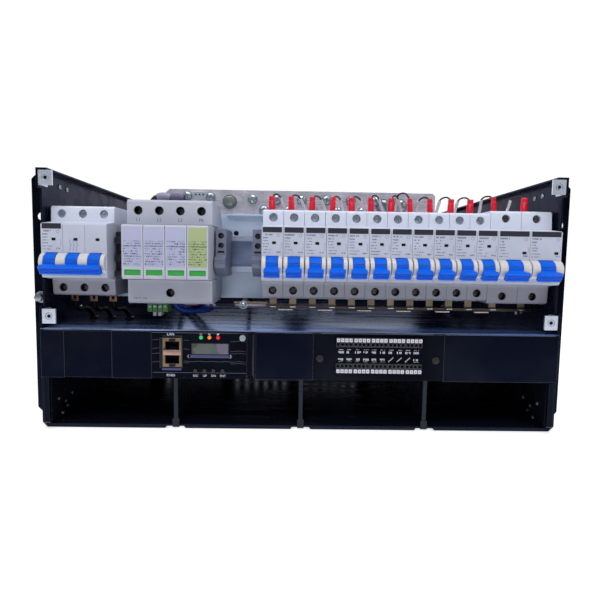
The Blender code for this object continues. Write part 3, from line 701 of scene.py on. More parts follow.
def wire(name, points, radius, finish):
    """A round wire through the points, in millimetres, smoothly curved and closed at its ends."""
    curve = bpy.data.curves.new(name, "CURVE")
    curve.dimensions = "3D"
    curve.bevel_depth = radius * MM
    curve.bevel_resolution = 3
    curve.use_fill_caps = True
    curve.resolution_u = 10
    spline = curve.splines.new("BEZIER")
    spline.bezier_points.add(len(points) - 1)
    for point, place in zip(spline.bezier_points, points):
        point.co = Vector(place) * MM
        point.handle_left_type = "AUTO"
        point.handle_right_type = "AUTO"
    place_piece(bpy.data.objects.new(name, curve), finish, RACK)


def words(name, text, centre, size, plane, finish, body=RACK):
    """A generic mark in raised print on a face that looks to the front."""
    curve = bpy.data.curves.new(name, "FONT")
    curve.body = text
    curve.size = size * MM
    curve.extrude = 0.03 * MM
    curve.align_x = "CENTER"
    curve.align_y = "CENTER"
    made = bpy.data.objects.new(name, curve)
    made.location = Vector((centre[0], plane - 0.05, centre[1])) * MM
    made.rotation_euler = (math.radians(90), 0, 0)
    place_piece(made, finish, body)


def tile(x, z, plane, thickness=0.12, proud=0.1):
    """A thin printed or stuck-on rectangle on a face that looks to the front."""
    return block(x, (plane - proud, plane - proud + thickness), z)


def dab(x, z, plane):
    """A thinner rectangle, for fine print and seams."""
    return tile(x, z, plane, 0.06, 0.05)


# ---------------------------------------------------------------- breakers


def print_rows(left, plane, rows, chance, letter=0.62):
    """Rows of small marks that stand for fine print: (z, height, length) for each row."""
    marks = []
    for z, height, length in rows:
        x = left
        while x < left + length:
            width = letter * chance.uniform(0.7, 1.3)
            if chance.random() > 0.16:
                foot = z + height * chance.choice((0, 0, 0, 0.35))
                marks.append(dab((x, x + width), (foot, z + height), plane))
            x += width + letter * 0.42
    return marks


def ring_mark(centre, radius, plane):
    """A thin printed circle."""
    return shifted(tube(radius - 0.22, radius, -0.05, 0.02, 20), (centre[0], plane, centre[1]))


def trip_symbol(centre, plane, size=1.0):
    """The usual small breaker symbol: a broken stroke with a hook beside it."""
    x, z = centre
    strokes = ((-0.12, 0.12, 1.2, 3.0), (-0.12, 0.12, -3.0, -1.0), (0.3, 0.55, -0.9, 1.0))
    return [
        dab((x + left * size, x + right * size), (z + low * size, z + high * size), plane)
        for left, right, low, high in strokes
    ]


# A pole's rows of fine print: the height over the rail, and the marks' height and the row's length.
PRINT_ROWS = ((15.2, 1.25, 7.6), (12.6, 1.15, 4.2), (10.3, 0.8, 4.0), (7.9, 0.8, 4.6), (5.6, 0.8, 4.0))
PRINT_ROWS += ((3.0, 0.7, 7.4), (0.6, 0.7, 6.6))


def print_pole(centre, half, chance):
    """(the dark band, the print marks) of one pole."""
    left, right = centre - half, centre + half
    rows = [(RAIL_Z + rise, height, length) for rise, height, length in PRINT_ROWS]
    band = tile((left + 0.9, right - 1.0), (RAIL_Z + 17.7, RAIL_Z + 22.1), NOSE, 0.15, 0.12)
    marks = print_rows(left + 1.2, NOSE, rows, chance)
    marks += print_rows(right - 5.4, NOSE, [(RAIL_Z + 0.9, 1.2, 3.6)], chance, 0.4)
    marks.append(ring_mark((right - 3.6, RAIL_Z + 15.4), 1.3, NOSE))
    return band, marks + trip_symbol((right - 1.6, RAIL_Z + 6.5), NOSE)


def status_window(centre):
    """The small window in the middle of a pole's face, sunk a little into it."""
    return block((centre - 0.2, centre + 3.0), (NOSE + 0.25, NOSE + 0.6), (RAIL_Z + 8.1, RAIL_Z + 10.3))


def well_screws(centres, rises, plane, depth):
    """Where the screws sit, that deep behind the plane."""
    return [(x, plane + depth, RAIL_Z + rise) for x in centres for rise in rises]


def painted_well_shade(places, radius, front, depth):
    """Painted shade inside round terminal wells: thin dark tubes from just inside each mouth to its screw."""
    shapes = []
    for x, z in places:
        low = front + 0.7
        high = front + depth
        shapes.append(shifted(tube(radius - 0.4, radius - 0.04, low, high, 24), (x, 0, z)))
        shapes.append(disc((x, z), radius - 0.06, "Y", high, high + 0.3, 24))
    return gathered(shapes)


def dress_terminals(name, poles, rise, screw, upper_finish, plural=""):
    """The terminal screws of a breaker's poles, and the painted shade in its lower wells."""
    above = stamped(screw, well_screws(poles, [rise], SHOULDER, UPPER_SCREW))
    below = stamped(screw, well_screws(poles, [-rise], SHOULDER, LOWER_SCREW))
    wells = painted_well_shade([(x, RAIL_Z - rise) for x in poles], 3.7, SHOULDER, LOWER_SCREW + 0.2)
    show(f"{name}_upper_screw{plural}", above, upper_finish)
    show(f"{name}_lower_screw{plural}", below, "dark_screw")
    show(f"{name}_lower_well{plural}", wells, "well")


def make_breaker_details():
    """Bands, print, status windows, terminal screws and pole seams on every breaker."""
    screw = drive_screw(3.35, 1.4)
    chance = random.Random(DETAIL_SEED)
    for name in DC_BREAKERS:
        low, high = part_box(f"{name}_body")
        centre = middle(f"{name}_body")
        half = (high.x - low.x) / 2 / MM
        wide = half > WIDE_HALF
        band, marks = print_pole(centre, half, chance)
        show(f"{name}_band", band, "band")
        show(f"{name}_print", gathered(marks), "dark_print")
        if wide:
            heights = (RAIL_Z + 7.9, RAIL_Z + 10.5)
            cover = block((centre - 0.5, centre + 3.3), (NOSE - 0.06, NOSE + 0.3), heights)
            show(f"{name}_window_cover", soften(cover, 0.05, 1), "shell")
            glass = tile((centre + 7.2, centre + 10.6), (RAIL_Z + 3.0, RAIL_Z + 5.2), NOSE, 0.3, 0.12)
        else:
            glass = status_window(centre)
        show(f"{name}_window", glass, "window")
        rise = (high.z - low.z) / 2 / MM - 6.6
        dress_terminals(name, [centre], rise, screw, "dark_screw" if wide else "screw_zinc")
    dress_ac_breaker(screw, chance)


def dress_ac_breaker(screw, chance):
    """The AC breaker's three poles: print on the first, a symbol for all three, and their seams."""
    centre = middle("ac_breaker_body")
    poles = [centre - POLE, centre, centre + POLE]
    band, marks = print_pole(poles[0], 8.8, chance)
    for x in (-3.2, -0.6, 2.0):
        marks += trip_symbol((centre + x, RAIL_Z + 4.4), NOSE, 1.5)
    show("ac_breaker_band", band, "band")
    show("ac_breaker_print", gathered(marks), "dark_print")
    show("ac_breaker_windows", gathered([status_window(x) for x in poles]), "window")
    dress_terminals("ac_breaker", poles, WELL_RISE, screw, "screw_zinc", "s")
    runs = ((-1.4, 21.0, NOSE), (-21.0, -18.4, NOSE), (25.0, 36.5, SHOULDER), (-36.5, -25.0, SHOULDER))
    seams = [
        dab((x - 0.14, x + 0.14), (RAIL_Z + low, RAIL_Z + high), plane)
        for x in (centre - POLE / 2, centre + POLE / 2)
        for low, high, plane in runs
    ]
    show("ac_breaker_seams", gathered(seams), "seam")


def feed_sleeve(name, foot, tip):
    """A red crimp sleeve standing in a breaker's top terminal, in two parts, leaning a little."""
    lengths = ((1.0, 0, 17.5), (0.92, 17.6, 21.6))
    sleeve = gathered([disc((0, 0), 3.0 * width, "Z", low, high, 20, 0.35) for width, low, high in lengths])
    bmesh.ops.scale(sleeve, verts=sleeve.verts, vec=(1.0, 0.72, 1.0))
    slant = (tip - foot).to_track_quat("Z", "Y").to_matrix()
    bmesh.ops.rotate(sleeve, verts=sleeve.verts, cent=(0, 0, 0), matrix=slant)
    show(f"{name}_sleeve", shifted(sleeve, foot), "sleeve_red")


def make_feed_wires():
    """A red sleeve in each DC breaker's top, and its thin sense wire with a white marker sleeve.

    The wires of the first seven lean right and go down behind the breakers, and the others lean
    left; all join a harness behind the row that leaves at the right and goes down to the shelf.
    """
    chance = random.Random(DETAIL_SEED)
    trunk_y = behind(54)
    trunk_z = 187.5
    for number, name in enumerate(DC_BREAKERS):
        x = middle(f"{name}_body")
        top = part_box(f"{name}_body")[1].z / MM
        lean = chance.uniform(-1.0, 1.4) + (1.4 if number in (2, 3) else 0)
        foot = Vector((x - 2.0, SLEEVE_Y, top - 7.5))
        tip = foot + Vector((lean, 1.0, 21.6))
        feed_sleeve(name, foot, tip)
        way = -1 if number > 6 else 1
        reach = chance.uniform(8.5, 12.0)
        lift = chance.uniform(1.2, 3.0) + (3.5 if number == 7 else 0)
        start = tip - Vector((0, 0, 0.8))
        crest = tip + Vector((way * reach * 0.35, 4, lift))
        turn = tip + Vector((way * reach * 0.8, 9, lift - 2.0))
        tail = Vector((x + way * reach * 1.15, trunk_y - 6, trunk_z + 6))
        end = Vector((x + way * reach * 1.3, trunk_y, trunk_z))
        wire(f"{name}_sense_wire", [start, crest, turn, tail, end], 0.75, "wire_black")
        marker = [turn.lerp(tail, share) for share in (0.05, 0.5, 0.92)]
        wire(f"{name}_marker", marker, 1.35, "marker_white")
    trunk = [
        (-20, trunk_y, trunk_z),
        (40, trunk_y + 0.6, trunk_z - 0.5),
        (110, trunk_y - 0.4, trunk_z),
        (150, trunk_y + 0.4, trunk_z + 3),
        (186, trunk_y + 3, trunk_z + 7),
        (204, behind(66), trunk_z + 9),
        (210, behind(90), trunk_z + 4),
        (210, behind(130), 160),
        (206, behind(180), 112),
        (196, behind(215), SHELF_TOP + 1.5),
    ]
    wire("sense_harness", trunk, 2.4, "wire_black")
    wire("sense_harness_two", [(x, y + 3.4, z + 1.6) for x, y, z in trunk], 1.9, "wire_black")
    ties = [disc((trunk_y + 1.2, trunk_z + 0.4), 4.6, "X", x, x + 2.4, 20, 0.2) for x in (0, 62)]
    show("harness_ties", gathered(ties), "marker_white")


def make_lever_lines():
    """The dark step on each lever's drum, above its tip."""
    turn = math.radians(18)
    y = HINGE_Y - DRUM * math.cos(turn)
    z = HINGE_Z + DRUM * math.sin(turn)
    for name in DC_BREAKERS:
        left, right = ends(f"{name}_body")
        half = 5.8 if right - left > 2 * WIDE_HALF else 4.5
        lever_line(name, f"dc_lever_{name[-2:]}", [middle(f"{name}_body")], half, y, z)
    centre = middle("ac_breaker_body")
    lever_line("ac_breaker", "ac_lever", [centre - POLE, centre, centre + POLE], 4.5, y, z)


def lever_line(name, body, poles, half, y, z):
    """One step on each pole's drum."""
    steps = [block((x - half, x + half), (y - 0.12, y + 0.6), (z - 0.45, z + 0.2)) for x in poles]
    show(f"{name}_lever_line", gathered(steps), "toggle_dark", body)


# ---------------------------------------------------------------- surge protector and clamps


def make_surge_details():
    """A label and a window on each surge module, and the marks, screws and print on their base."""
    centres = []
    for number, mark in enumerate(("L1", "L2", "L3", "PE"), start=1):
        x = middle(f"spd_module_{number}")
        centres.append(x)
        body = f"surge_module_{number}"
        depth = (MODULE_FACE - 0.14, MODULE_FACE + 0.02)
        label = soften(block((x - 7.5, x + 7.5), depth, (RAIL_Z - 12.4, RAIL_Z + 20.2)), 0.05, 1)
        show(f"surge_label_{number}", label, "earth_label" if mark == "PE" else "phase_label", body)
        depth = (MODULE_FACE + 0.35, MODULE_FACE + 0.75)
        glass = block((x - 6.6, x + 6.6), depth, (RAIL_Z - 19.2, RAIL_Z - 15.0), 0.1)
        show(f"surge_window_{number}", glass, "green_window", body)
        words(f"surge_mark_{number}", mark, (x, RAIL_Z + 27.2), 4.0, SURGE_SHOULDER, "dark_print")
    centre = sum(centres) / 4
    places = well_screws(centres, [35.0], SURGE_SHOULDER, 6.5)
    places += well_screws([centre], [-34.8], SURGE_SHOULDER, 6.5)
    show("surge_screws", stamped(drive_screw(3.0, 1.2), places), "dark_screw")
    # Painted shade inside the screws' wells.
    wells = painted_well_shade([(place[0], place[2]) for place in places], 3.8, SURGE_SHOULDER, 7.0)
    show("surge_well_shade", wells, "well")
    chance = random.Random(SURGE_SEED)
    code = print_rows(centre - 31, SURGE_SHOULDER, [(RAIL_Z - 40.5, 1.6, 11)], chance, 0.9)
    show("surge_print", gathered(code), "seam")


def make_clamp_details():
    """Screws and slots in the rail's two end clamps."""
    screw = drive_screw(2.45, 1.0)
    front = RAIL_FACE - 38
    rises = (15.3, 6.8)
    for side in ("left", "right"):
        x = middle(f"end_clamp_{side}")
        show(f"end_clamp_{side}_screws", stamped(screw, well_screws([x], rises, front, 4.5)), "dark_screw")
        # Painted shade inside the screws' wells.
        wells = painted_well_shade([(x, RAIL_Z + rise) for rise in rises], 2.7, front, 4.7)
        show(f"end_clamp_{side}_wells", wells, "well")
        slot = block((x - 2.9, x + 2.9), (front - 0.1, front + 0.5), (RAIL_Z + 0.4, RAIL_Z + 2.0))
        show(f"end_clamp_{side}_slot", slot, "window")


def make_rail_terminal():
    """A black rail terminal between the AC breaker and the surge protector, and the plate's thread in painted
    shade.
    """
    left = ends("ac_breaker_body")[1] + 0.8
    right = ends("spd_base")[0] - 0.6
    front = RAIL_FACE - 44
    parts = [soften(block((left, right), (front, RAIL_FACE - 0.4), (RAIL_Z - 24, RAIL_Z + 17)), 0.6)]
    for z in (RAIL_Z + 9.5, RAIL_Z - 5.5, RAIL_Z - 19.5):
        lip = block((left + 0.4, right - 0.4), (front - 5, front + 1), (z - 2.6, z + 2.6))
        parts.append(soften(lip, 0.6))
    show("rail_terminal", gathered(parts), "key_black")
    places = well_screws([(left + right) / 2], (2.2, -12.5), front, 0)
    show("rail_terminal_screws", stamped(drive_screw(2.2, 0.8), places), "dark_screw")
    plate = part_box("mounting_plate")[0].y / MM + 5
    # Painted shade in the plate's threaded hole.
    show("plate_thread_shade", disc((-64.5, 173.5), 2.5, "Y", plate + 0.5, plate + 1.5, 24), "well")


# ---------------------------------------------------------------- busbars and power wiring


def make_busbar_details():
    """Bolts along the positive bar, and its tag."""
    pan = pan_bolt(3.9, 5.0)
    face = BUSBAR_FACE
    high_row = [(-48.8 + BOLT_PITCH * number, face, 207.0) for number in range(6)]
    low_row = [(-37.5 + BOLT_PITCH * number, face, 196.4) for number in range(5)]
    feeds = [(79.4, face, 202.8), (96.2, face, 202.8)]
    show("busbar_bolts", stamped(pan, high_row + low_row), "screw_zinc")
    show("busbar_main_bolts", stamped(hex_bolt(9.0, 4.2, 7.0), [(-71.0, face, 204.2)]), "hex_zinc")
    show("busbar_feed_bolts", stamped(pan_bolt(5.4, 7.0), feeds), "screw_zinc")
    tag = block((-107.5, -93.5), (face - 0.6, face + 0.02), (206.0, 213.6))
    show("busbar_tag", soften(tag, 0.15, 1), "nickel")
    spots = [disc((x, 210.6), 0.9, "Y", face - 0.75, face - 0.5, 16) for x in (-104.2, -100.6, -97.0)]
    show("busbar_tag_holes", gathered(spots), "well")
    show("busbar_tag_screws", stamped(pan, [(-112.3, face, 209.0), (-89.7, face, 208.2)]), "screw_zinc")


def cable_lug(name, x, z, sleeve_finish, route):
    """A tinned ring lug on the bar's face, its heat-shrink sleeve and its black power cable."""
    face = BUSBAR_FACE
    palm = soften(block((x - 6, x + 6), (face - 2.4, face - 0.1), (z - 9, z - 1)), 0.8, 2)
    show(f"{name}_palm", palm, "screw_zinc")
    start = Vector((x - 1, face - 5, z + 0.5))
    sleeve = [start, start + Vector((-5.5, -1.5, 1.0)), start + Vector((-11.0, -1, 0.2))]
    wire(f"{name}_shrink", sleeve, 3.7, sleeve_finish)
    cable = [sleeve[-1] + Vector((2, 0, 0)), sleeve[-1] + Vector((-4, 3, -1.5))]
    wire(f"{name}_cable", cable + [Vector(place) for place in route], 3.0, "wire_black")


def make_power_wiring():
    """The two feeds that leave the positive bar and go down behind the plate, through the shelf."""
    foot = (behind(215), SHELF_TOP + 2.5)
    first = [(-138, behind(94), 195), (-146, behind(120), 165), (-146, behind(170), 118), (-142, *foot)]
    second = [(-150, behind(94), 195), (-160, behind(120), 160), (-168, behind(170), 116), (-168, *foot)]
    cable_lug("positive_lug_one", -114.5, 205.4, "shrink_dark", first)
    cable_lug("positive_lug_two", -127.5, 206.0, "shrink_pale", second)
    places = [(-142, behind(216), 6.2), (-168, behind(216), 6.2), (196, behind(216), 5.0)]
    places += [(-64, behind(232), 4.6), *((x, behind(66), 4.2) for x in (-204.2, -186.6, -169.2))]
    depth = (SHELF_TOP + 0.1, SHELF_TOP + 2.2)
    grommets = [disc((x, y), radius, "Z", *depth, 24, 0.4) for x, y, radius in places]
    show("shelf_grommets", gathered(grommets), "key_black")


def make_comb_details():
    """Bright folded lips on the comb's tabs, wider ones under its joints, and its end bolt."""
    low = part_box("negative_busbar")[0] / MM
    front = low.y
    foot = low.z
    lips = []
    catches = []
    for number, name in enumerate(DC_BREAKERS):
        x = middle(f"{name}_body")
        lips.append(block((x - 2.7, x + 2.7), (front - 2.6, front - 0.05), (foot + 1.3, foot + 2.3), 0.25))
        if number % 2 == 0 and number < 11:
            joint = x + 11.5
            depth = (front - 3.4, front - 0.05)
            catches.append(block((joint - 6.6, joint + 6.6), depth, (foot - 1.3, foot - 0.1), 0.4))
    show("comb_lips", gathered(lips), "bright_lip")
    show("comb_catches", gathered(catches), "bright_lip")
    strip = block((-60.5, -33.0), (front - 0.5, front - 0.05), (foot + 1.6, foot + 3.6), 0.2)
    show("comb_end_strip", strip, "shrink_pale")
    show("comb_bolt", stamped(pan_bolt(2.6, 3.8), [(-53.3, front, foot + 2.8)]), "screw_zinc")
    link_route = [
        (-52, front + 4.6, foot + 3),
        (-53, front + 20, foot),
        (-56, front + 42, foot - 0.4),
        (-58, front + 64, foot + 6),
        (-60, front + 112, foot + 12),
        (-64, behind(216), foot + 4),
        (-64, behind(232), SHELF_TOP + 2.6),
    ]
    wire("comb_link", link_route, 2.6, "lead_black")


def make_input_wiring():
    """Fork lugs and leads under the AC breaker."""
    centre = middle("ac_breaker_body")
    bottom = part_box("ac_breaker_body")[0].z / MM
    depth = (SLEEVE_Y - 1, SLEEVE_Y + 0.6)
    lugs = []
    for number, x in enumerate((centre - 17.5, centre, centre + 17.5)):
        for prong in ((x - 3.4, x - 1.2), (x + 1.2, x + 3.4)):
            lugs.append(block(prong, depth, (bottom - 5.5, bottom - 0.2), 0.25))
        lugs.append(block((x - 3.4, x + 3.4), depth, (bottom - 7.2, bottom - 5.0), 0.25))
        start = Vector((x, SLEEVE_Y, bottom - 7))
        route = [start, start + Vector((0.5, 2, -6)), Vector((x + 2, behind(54), SHELF_TOP + 11))]
        wire(f"ac_lead_{number}", route + [Vector((x + 3, behind(66), SHELF_TOP + 1.6))], 2.2, "lead_black")
    show("ac_fork_lugs", gathered(lugs), "copper")


def make_surge_wiring():
    """The green plug terminal, the blue leads and the copper strip under the surge protector."""
    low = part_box("spd_base")[0] / MM
    left, bottom = low.x, low.z
    pitch = 4.6
    terminals = [left + 13 + pitch * number for number in range(4)]
    caps = [
        block((x - 2.1, x + 2.1), (behind(26), behind(40)), (bottom - 9.5, bottom - 0.4), 0.5)
        for x in terminals
    ]
    keys = [
        block((x - 1.4, x + 1.4), (behind(27), behind(36)), (bottom - 13.2, bottom - 9.6), 0.3)
        for x in (left + 17, left + 17 + pitch)
    ]
    screws = [(x, behind(26), bottom - 4.5) for x in terminals]
    show("surge_terminal", gathered(caps), "terminal_green")
    show("surge_terminal_keys", gathered(keys), "pin_white")
    show("surge_terminal_screws", stamped(drive_screw(1.5, 0.5), screws), "screw_zinc")
    blue = [
        (left + 33, behind(36), bottom + 3),
        (left + 35, behind(36), bottom - 5),
        (left + 46, behind(40), bottom - 10),
        (left + 58, behind(52), bottom - 8),
        (left + 46, behind(86), bottom - 9),
        (left + 20, behind(130), SHELF_TOP + 3.4),
        (left + 4, behind(160), SHELF_TOP + 3.4),
    ]
    wire("surge_blue_lead", blue, 2.6, "wire_blue")
    beside = [(x + 6, y + 4, z + (0.6 if z > bottom - 2 else -0.4)) for x, y, z in blue]
    wire("surge_blue_lead_two", beside, 2.2, "wire_blue")
    strip = block((left + 44, left + 55), (behind(30), behind(34)), (bottom - 3.2, bottom - 0.4), 0.4)
    show("surge_copper_strip", strip, "copper")


# ---------------------------------------------------------------- monitoring unit and signal panel


def make_unit_details():
    """The monitoring unit's own pieces, which all ride on it."""
    plane = behind(0)
    make_unit_lamps(plane)
    make_unit_marks(plane)
    make_unit_display(plane)
    make_unit_socket(plane)
    make_unit_lines(plane)
    make_unit_contacts(plane)
    slots = [UNIT_LEFT + 12 + 4.8 * number for number in range(14)]
    vents = [block((x - 0.9, x + 0.9), (behind(60), behind(100)), (85.32, 85.46)) for x in slots]
    show("unit_top_slots", gathered(vents), "window", CONTROLLER)


def make_unit_lamps(plane):
    """Three lamps and a small sign over each: run, fault and alarm."""
    places = (("green", UNIT_LEFT + 41.8), ("orange", UNIT_LEFT + 48.9), ("red", UNIT_LEFT + 56.2))
    for colour, x in places:
        lens = lathe([(0, 1.6), (1.6, 1.6), (1.6, -0.4), (1.35, -1.0), (0.75, -1.3), (0, -1.4)], 20)
        show(f"lamp_{colour}", shifted(lens, (x, plane, 81.8)), f"lamp_{colour}", CONTROLLER)
    run, fault, alarm = (x for colour, x in places)
    signs = [ring_mark((run, 84.9), 0.9, plane), tile((fault - 0.9, fault + 0.9), (84.0, 84.4), plane)]
    signs += [tile((fault + step, fault + step + 0.4), (84.3, 85.6), plane) for step in (-0.8, 0.4)]
    signs.append(tile((alarm - 1.0, alarm + 0.6), (84.1, 84.9), plane))
    signs.append(tile((alarm - 0.3, alarm + 1.1), (84.9, 85.6), plane))
    show("lamp_icons", gathered(signs), "pale_print", CONTROLLER)


def make_unit_marks(plane):
    """The names of the two sockets and of the four keys."""
    words("mark_lan", "LAN", (JACK - 1.3, 84.2), 3.2, plane, "pale_print", CONTROLLER)
    words("mark_serial", "RS485", (JACK - 1.3, 48.9), 2.9, plane, "pale_print", CONTROLLER)
    for key, text in (("esc", "ESC"), ("up", "UP"), ("down", "DN"), ("enter", "ENT")):
        place = (middle(f"button_{key}"), 48.7)
        words(f"mark_{key}", text, place, 2.7, plane, "pale_print", CONTROLLER)


def make_unit_display(plane):
    """The ledge under the display, and an arrow on each side of it."""
    span = (GLASS_LEFT - 0.4, GLASS_RIGHT + 0.7)
    show("display_ledge", block(span, (plane - 0.7, plane + 0.02), (64.3, 67.0), 0.3), "ledge", CONTROLLER)
    arrows = [
        tile((x + step * side - 0.2, x + step * side + 0.4), (z - 0.2, z + 0.2), plane)
        for x, side in ((GLASS_LEFT - 2.8, 1), (GLASS_RIGHT + 2.2, -1))
        for step, z in ((0, 65.6), (0.5, 66.2), (1.0, 66.8), (0.5, 65.0), (1.0, 64.4))
    ]
    show("display_arrows", gathered(arrows), "pale_print", CONTROLLER)


def make_unit_socket(plane):
    """The double socket's strip, dark surround, latch notches, linings and band."""
    strip = block((JACK - 8.6, JACK + 7.8), (plane - 0.9, plane + 0.02), (53.4, 55.4), 0.3)
    show("socket_strip", strip, "ledge", CONTROLLER)
    rim = (plane - 0.15, plane + 0.02)
    notch = (plane - 0.95, plane - 0.82)
    lining = (plane + 0.6, plane + 12.4)
    dark = [
        block((JACK - 10.6, JACK - 7.95), rim, (55.6, 83.0), 0.05),
        block((JACK + 7.95, JACK + 8.6), rim, (55.6, 83.0), 0.05),
        block((JACK - 10.6, JACK + 8.6), rim, (81.2, 83.0), 0.05),
        block((JACK - 2.7, JACK + 2.7), notch, (78.3, 80.9)),
        block((JACK - 2.7, JACK + 2.7), notch, (56.5, 59.0)),
        block((JACK - 7.5, JACK - 6.1), (plane - 0.93, plane - 0.82), (70.9, 72.6)),
    ]
    dark += [block((x, x + 0.5), lining, heights) for x in (JACK - 6.4, JACK + 5.9) for heights in PORTS]
    for low, high in PORTS:
        dark += [block((JACK - 6.0, JACK + 6.0), lining, (z - 0.25, z + 0.2)) for z in (low, high)]
        dark.append(block((JACK - 6.0, JACK + 6.0), (plane + 12.2, plane + 12.9), (low, high)))
    show("socket_dark", gathered(dark), "well", CONTROLLER)
    band = block((JACK - 7.6, JACK + 7.4), (plane - 0.97, plane - 0.82), (66.7, 70.6), 0.04)
    show("socket_band", band, "jack_band", CONTROLLER)


def make_unit_lines(plane):
    """Thin printed lines across the front, and the pull strap's edges and recess."""
    lines = [tile((UNIT_LEFT + 0.8, UNIT_RIGHT - 7.5), (z, z + 0.3), plane) for z in (85.4, 51.2)]
    runs = {
        (UNIT_LEFT + 0.6, UNIT_LEFT + 6.6): (79.4, 72.0, 67.6, 60.4),
        (JACK + 9.6, GLASS_LEFT - 1.5): (79.0, 71.4, 59.6),
        (GLASS_RIGHT + 1.5, UNIT_RIGHT - 8): (78.6, 70.2, 68.2, 59.4),
        (JACK + 9.6, UNIT_RIGHT - 8): (61.0,),
    }
    for span, heights in runs.items():
        for z in heights:
            lines += wavy_line(span, z, plane)
    show("panel_lines", gathered(lines), "dim_print", CONTROLLER)
    edges = [tile((x, x + 0.25), (47.4, 85.2), plane) for x in (UNIT_RIGHT - 7.3, UNIT_RIGHT - 1.5)]
    show("strap_edges", gathered(edges), "dim_print", CONTROLLER)
    slot = block((UNIT_RIGHT - 6.9, UNIT_RIGHT - 1.8), (plane - 0.12, plane + 0.02), (49.5, 84.2), 0.03)
    show("strap_recess", slot, "window", CONTROLLER)


def make_unit_contacts(plane):
    """Eight contacts near the top of the lower port and near the bottom of the upper one."""
    lower, upper = PORTS
    contacts = [
        block((x - 0.2, x + 0.2), (plane + 4, plane + 12.1), (z - 0.3, z + 0.1))
        for z in (lower[1] - 1.2, upper[0] + 1.4)
        for x in [JACK + (pin - 3.5) * 1.1 for pin in range(8)]
    ]
    show("socket_contacts", gathered(contacts), "dark_screw", CONTROLLER)


def wavy_line(span, z, plane):
    """A thin printed line in short lengths that rise and fall slightly."""
    count = max(1, round((span[1] - span[0]) / 1.5))
    step = (span[1] - span[0]) / count
    pieces = []
    for number in range(count):
        x = span[0] + step * number
        rise = 0.25 * math.sin(x * 0.55)
        pieces.append(tile((x, x + step), (z + rise, z + rise + 0.22), plane))
    return pieces


def terminal_places():
    """X of each push-in terminal, in five groups of four."""
    first, last, pitch = 29.1, 102.4, 3.5
    spare = (last - first - 20 * pitch) / 4
    return [first + pitch * (pin + 0.5) + spare * (pin // 4) for pin in range(20)]


def make_signal_details():
    """White push keys, the printed grid of terminal marks and two captive screws."""
    key_depth = (HEADER_FACE - 1.2, HEADER_FACE + 0.05)
    slot_depth = (HEADER_FACE - 1.26, HEADER_FACE - 1.1)
    keys = []
    slots = []
    frames = []
    for x in terminal_places():
        for z in (81.6, 55.0):
            keys.append(block((x - 1.4, x + 1.4), key_depth, (z - 1.55, z + 1.55), 0.25))
            slots.append(block((x - 0.42, x + 0.42), slot_depth, (z - 0.4, z + 0.4)))
        for z in (77.8, 59.2):
            frames.append(tile((x - 1.72, x - 1.58), (z - 1.7, z + 1.7), HEADER_FACE))
            frames.append(tile((x - 1.58, x + 1.58), (z - 1.9, z - 1.76), HEADER_FACE))
    show("terminal_keys", gathered(keys), "pin_white")
    show("terminal_key_slots", gathered(slots), "well")
    show("terminal_frames", gathered(frames), "dim_print")
    show("terminal_marks", gathered(terminal_marks()), "pale_print")
    places = [(15.4, PANEL_FACE, 64.8), (115.2, PANEL_FACE, 64.2)]
    show("panel_screws", stamped(drive_screw(2.6, 1.3), places), "header_black")
    rims = [shifted(washer(3.3, 2.7, 0, 0.5), (x, y - 0.4, z)) for x, y, z in places]
    show("panel_screw_rims", gathered(rims), "window")


def terminal_marks():
    """Two rows of ten small generic marks, three of them in the lower row slanting like switches."""
    marks = []
    chance = random.Random(TERMINAL_SEED)
    for row, rule in ((69.6, 3.0), (63.4, -1.2)):
        for group in range(10):
            x = 31.2 + 7.2 * group
            if row > 65 or group not in (6, 7, 8):
                marks += print_rows(x, PANEL_FACE, [(row, 1.9, 4.2)], chance, 0.75)
                marks += print_rows(x + 0.4, PANEL_FACE, [(row + rule, 0.5, 3.6)], chance, 0.4)
                continue
            for step in range(7):
                along = x + step * 0.62
                rise = step * 0.55
                marks.append(dab((along, along + 0.42), (row - 1.2 + rise, row - 0.1 + rise), PANEL_FACE))
    return marks


# ---------------------------------------------------------------- case details


